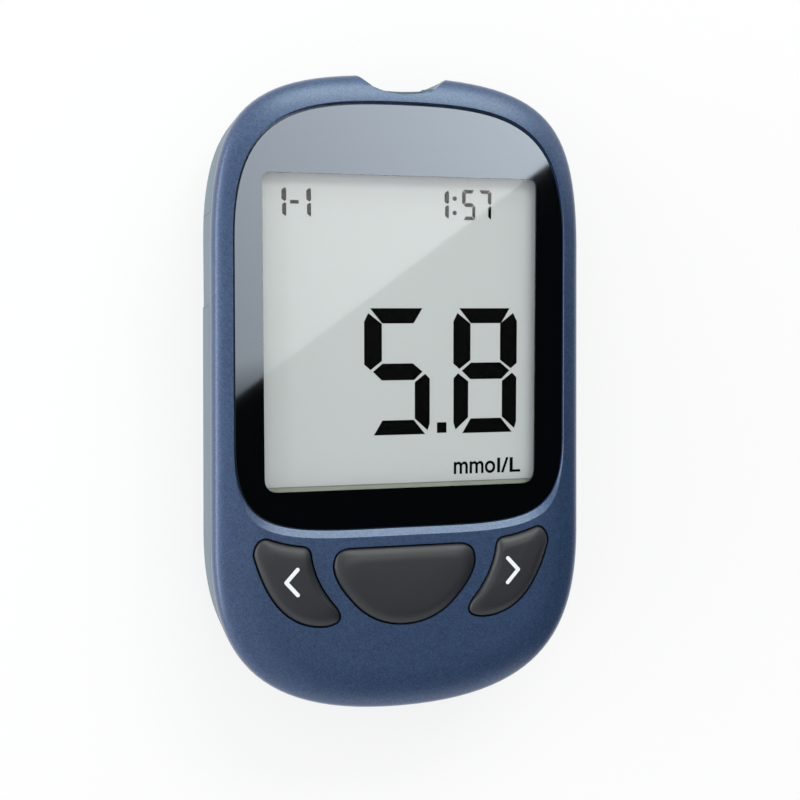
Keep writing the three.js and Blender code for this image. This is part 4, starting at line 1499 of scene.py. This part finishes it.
# Battery contacts
# Nickel plated strips at both ends of the bay. At the keys' end each carries a conical coil of
# spring wire that presses on the cell's flat end. Their tails go up through the bay's roof.
spring_radius = 3.0 * mm
spring_taper = 0.35
spring_wire = 0.35 * mm
spring_turns = 4
spring_corners = 24
climb_start = 0.2  # the share of the wire that lies flat at each end of the coil
climb_share = 0.6
plate_half = (4.0 * mm, 4.2 * mm)  # across and up
plate_thickness = 0.3 * mm
plate_round = 0.05 * mm
tail_half = 2.0 * mm
x = cell_spots["left"]
low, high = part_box("battery_spring_left")
foot = low.y + plate_thickness + spring_wire
reach = high.y - spring_wire - foot
route = []
for corner in range(spring_turns * spring_corners + 1):
    share = corner / (spring_turns * spring_corners)
    turn = corner / spring_corners * 2 * math.pi
    radius = spring_radius * (1 - spring_taper * share)
    height = foot + reach * min(1, max(0, (share - climb_start) / climb_share))
    route.append((x + radius * math.cos(turn), height, cell_axis + radius * math.sin(turn)))
spring = trace(route[0], [[corner] for corner in route[1:]], 1, closed=False, wire=spring_wire)
plate_along = (low.y, low.y + plate_thickness)
plate_up = (cell_axis - plate_half[1], cell_axis + plate_half[1])
plate = block((x - plate_half[0], x + plate_half[0]), plate_along, plate_up)
cut(plate, block((x - tail_half, x + tail_half), plate_along, (cell_axis, high.z)), "UNION")
round_edges(plate, plate_round)
weld(spring)
plate.select_set(True)
bpy.ops.object.join()
smooth(spring, sharp_angle=50)
dress(spring, nickel)
springs = {"left": spring, "right": copied(spring, (cell_pitch, 0, 0))}
for name, spring in springs.items():
    spring.name = name + "_battery_spring"
    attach(spring, "case")
    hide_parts("battery_spring_" + name)

# Case screws
# Four short screws of nickel plated steel with round heads and hexagon sockets. They are driven
# in from the back, through the cover's bores into the front shell's bosses.
head_radius = 1.7 * mm
head_height = 1.4 * mm
head_round = 0.25 * mm
shank_radius = 0.8 * mm
socket_share = 0.55
first_x, first_y = boss_spots[0]
low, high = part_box("case_screw_1")
half_head = low.z + head_height / 2
screw = post(head_radius, first_x, first_y, low.z, low.z + head_height)
round_edges(screw, head_round, steps=4)
cut(screw, post(shank_radius, first_x, first_y, half_head, high.z, sides=32), "UNION")
cut(screw, post(head_radius * socket_share, first_x, first_y, low.z - head_height, half_head, sides=6))
smooth(screw, sharp_angle=40)
dress(screw, nickel)
screws = [screw] + [copied(screw, (x - first_x, y - first_y, 0)) for x, y in boss_spots[1:]]
for number, screw in enumerate(screws, 1):
    screw.name = f"case_screw_head_{number}"
    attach(screw, "case")
    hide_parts(f"case_screw_{number}")

# Parts inside
# The board and what is soldered to it, the display's holder and rubber strip, the snap domes,
# the strip connector and its gilt leaves, and the plain contact plates keep the CAD model's shapes.

# White ABS, black nylon, and the matt epoxy of chips: all moulded, with soft light and a fine grain.
holder_abs = moulded("white_moulded_abs", "e4e4de", roughness=0.5, grain=grain_width, depth=0.01 * mm)
black_nylon = moulded(
    "black_glass_filled_nylon", "1d1d1f", roughness=0.45, grain=grain_width, depth=0.015 * mm
)
chip_epoxy = moulded("black_chip_epoxy", "232325", roughness=0.6, grain=0.2 * mm, depth=0.01 * mm)

# Gilt spring bronze: a warm yellow metal, a little brighter than the nickel.
gilt = plated("gilt_spring_bronze", "d2a84c", roughness=0.25)

# Green solder mask over areas of copper, which show as slightly lighter, raised bands some 5 mm apart.
track_scale = 12 * mm  # gives that pitch along the bands' diagonal
track_height = 0.03 * mm
board_mask = start_material("green_solder_mask")
place = add_node(board_mask, "TexCoord")
tracks = add_node(
    board_mask,
    "TexWave",
    {"bands_direction": "DIAGONAL"},
    {"Vector": place.outputs["Object"], "Scale": 1 / track_scale, "Distortion": 6.0, "Detail Scale": 2.0},
)
track = add_node(
    board_mask, "MapRange", inputs={"Value": tracks.outputs["Fac"], "From Min": 0.45, "From Max": 0.6}
)
mask_colour = add_node(
    board_mask, "Mix", {"data_type": "RGBA"}, {0: track.outputs[0], 6: linear("14553a"), 7: linear("2b7d50")}
)
raised_track = add_node(board_mask, "Bump", inputs={"Height": track.outputs[0], "Distance": track_height})
mask = add_node(
    board_mask,
    "BsdfPrincipled",
    inputs={"Base Color": mask_colour.outputs[2], "Roughness": 0.35, "Normal": raised_track.outputs[0]},
)
end_material(board_mask, mask.outputs[0])

# Striped rubber: black carbon layers between pale pink ones. Real layers are 0.05 mm, and are
# drawn 0.4 mm wide so that they show.
layer_pitch = 0.4 * mm
wave_length = 0.314  # of the wave texture at a scale of 1
striped_rubber = start_material("striped_silicone_rubber")
place = add_node(striped_rubber, "TexCoord")
layers = add_node(
    striped_rubber,
    "TexWave",
    {"bands_direction": "X"},
    {"Vector": place.outputs["Object"], "Scale": wave_length / layer_pitch},
)
layer_colour = add_node(
    striped_rubber,
    "Mix",
    {"data_type": "RGBA"},
    {0: layers.outputs["Fac"], 6: linear("2a2628"), 7: linear("d7949b")},
)
rubber = add_node(
    striped_rubber, "BsdfPrincipled", inputs={"Base Color": layer_colour.outputs[2], "Roughness": 0.7}
)
end_material(striped_rubber, rubber.outputs[0])

inside_finishes = [
    (holder_abs, ["lcd_holder"]),
    (striped_rubber, ["elastomer_strip"]),
    (board_mask, ["main_board"]),
    (chip_epoxy, ["controller_chip", "amplifier_chip", "memory_chip"]),
    (black_nylon, ["buzzer", "strip_connector"]),
    (nickel, ["crystal_can", "battery_plate_left", "battery_plate_right"]),
    (nickel, ["dome_left", "dome_middle", "dome_right"]),
    (gilt, ["strip_contact_left", "strip_contact_middle", "strip_contact_right"]),
]
for finish, nodes in inside_finishes:
    for node in nodes:
        dress(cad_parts[node], finish)

low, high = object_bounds()
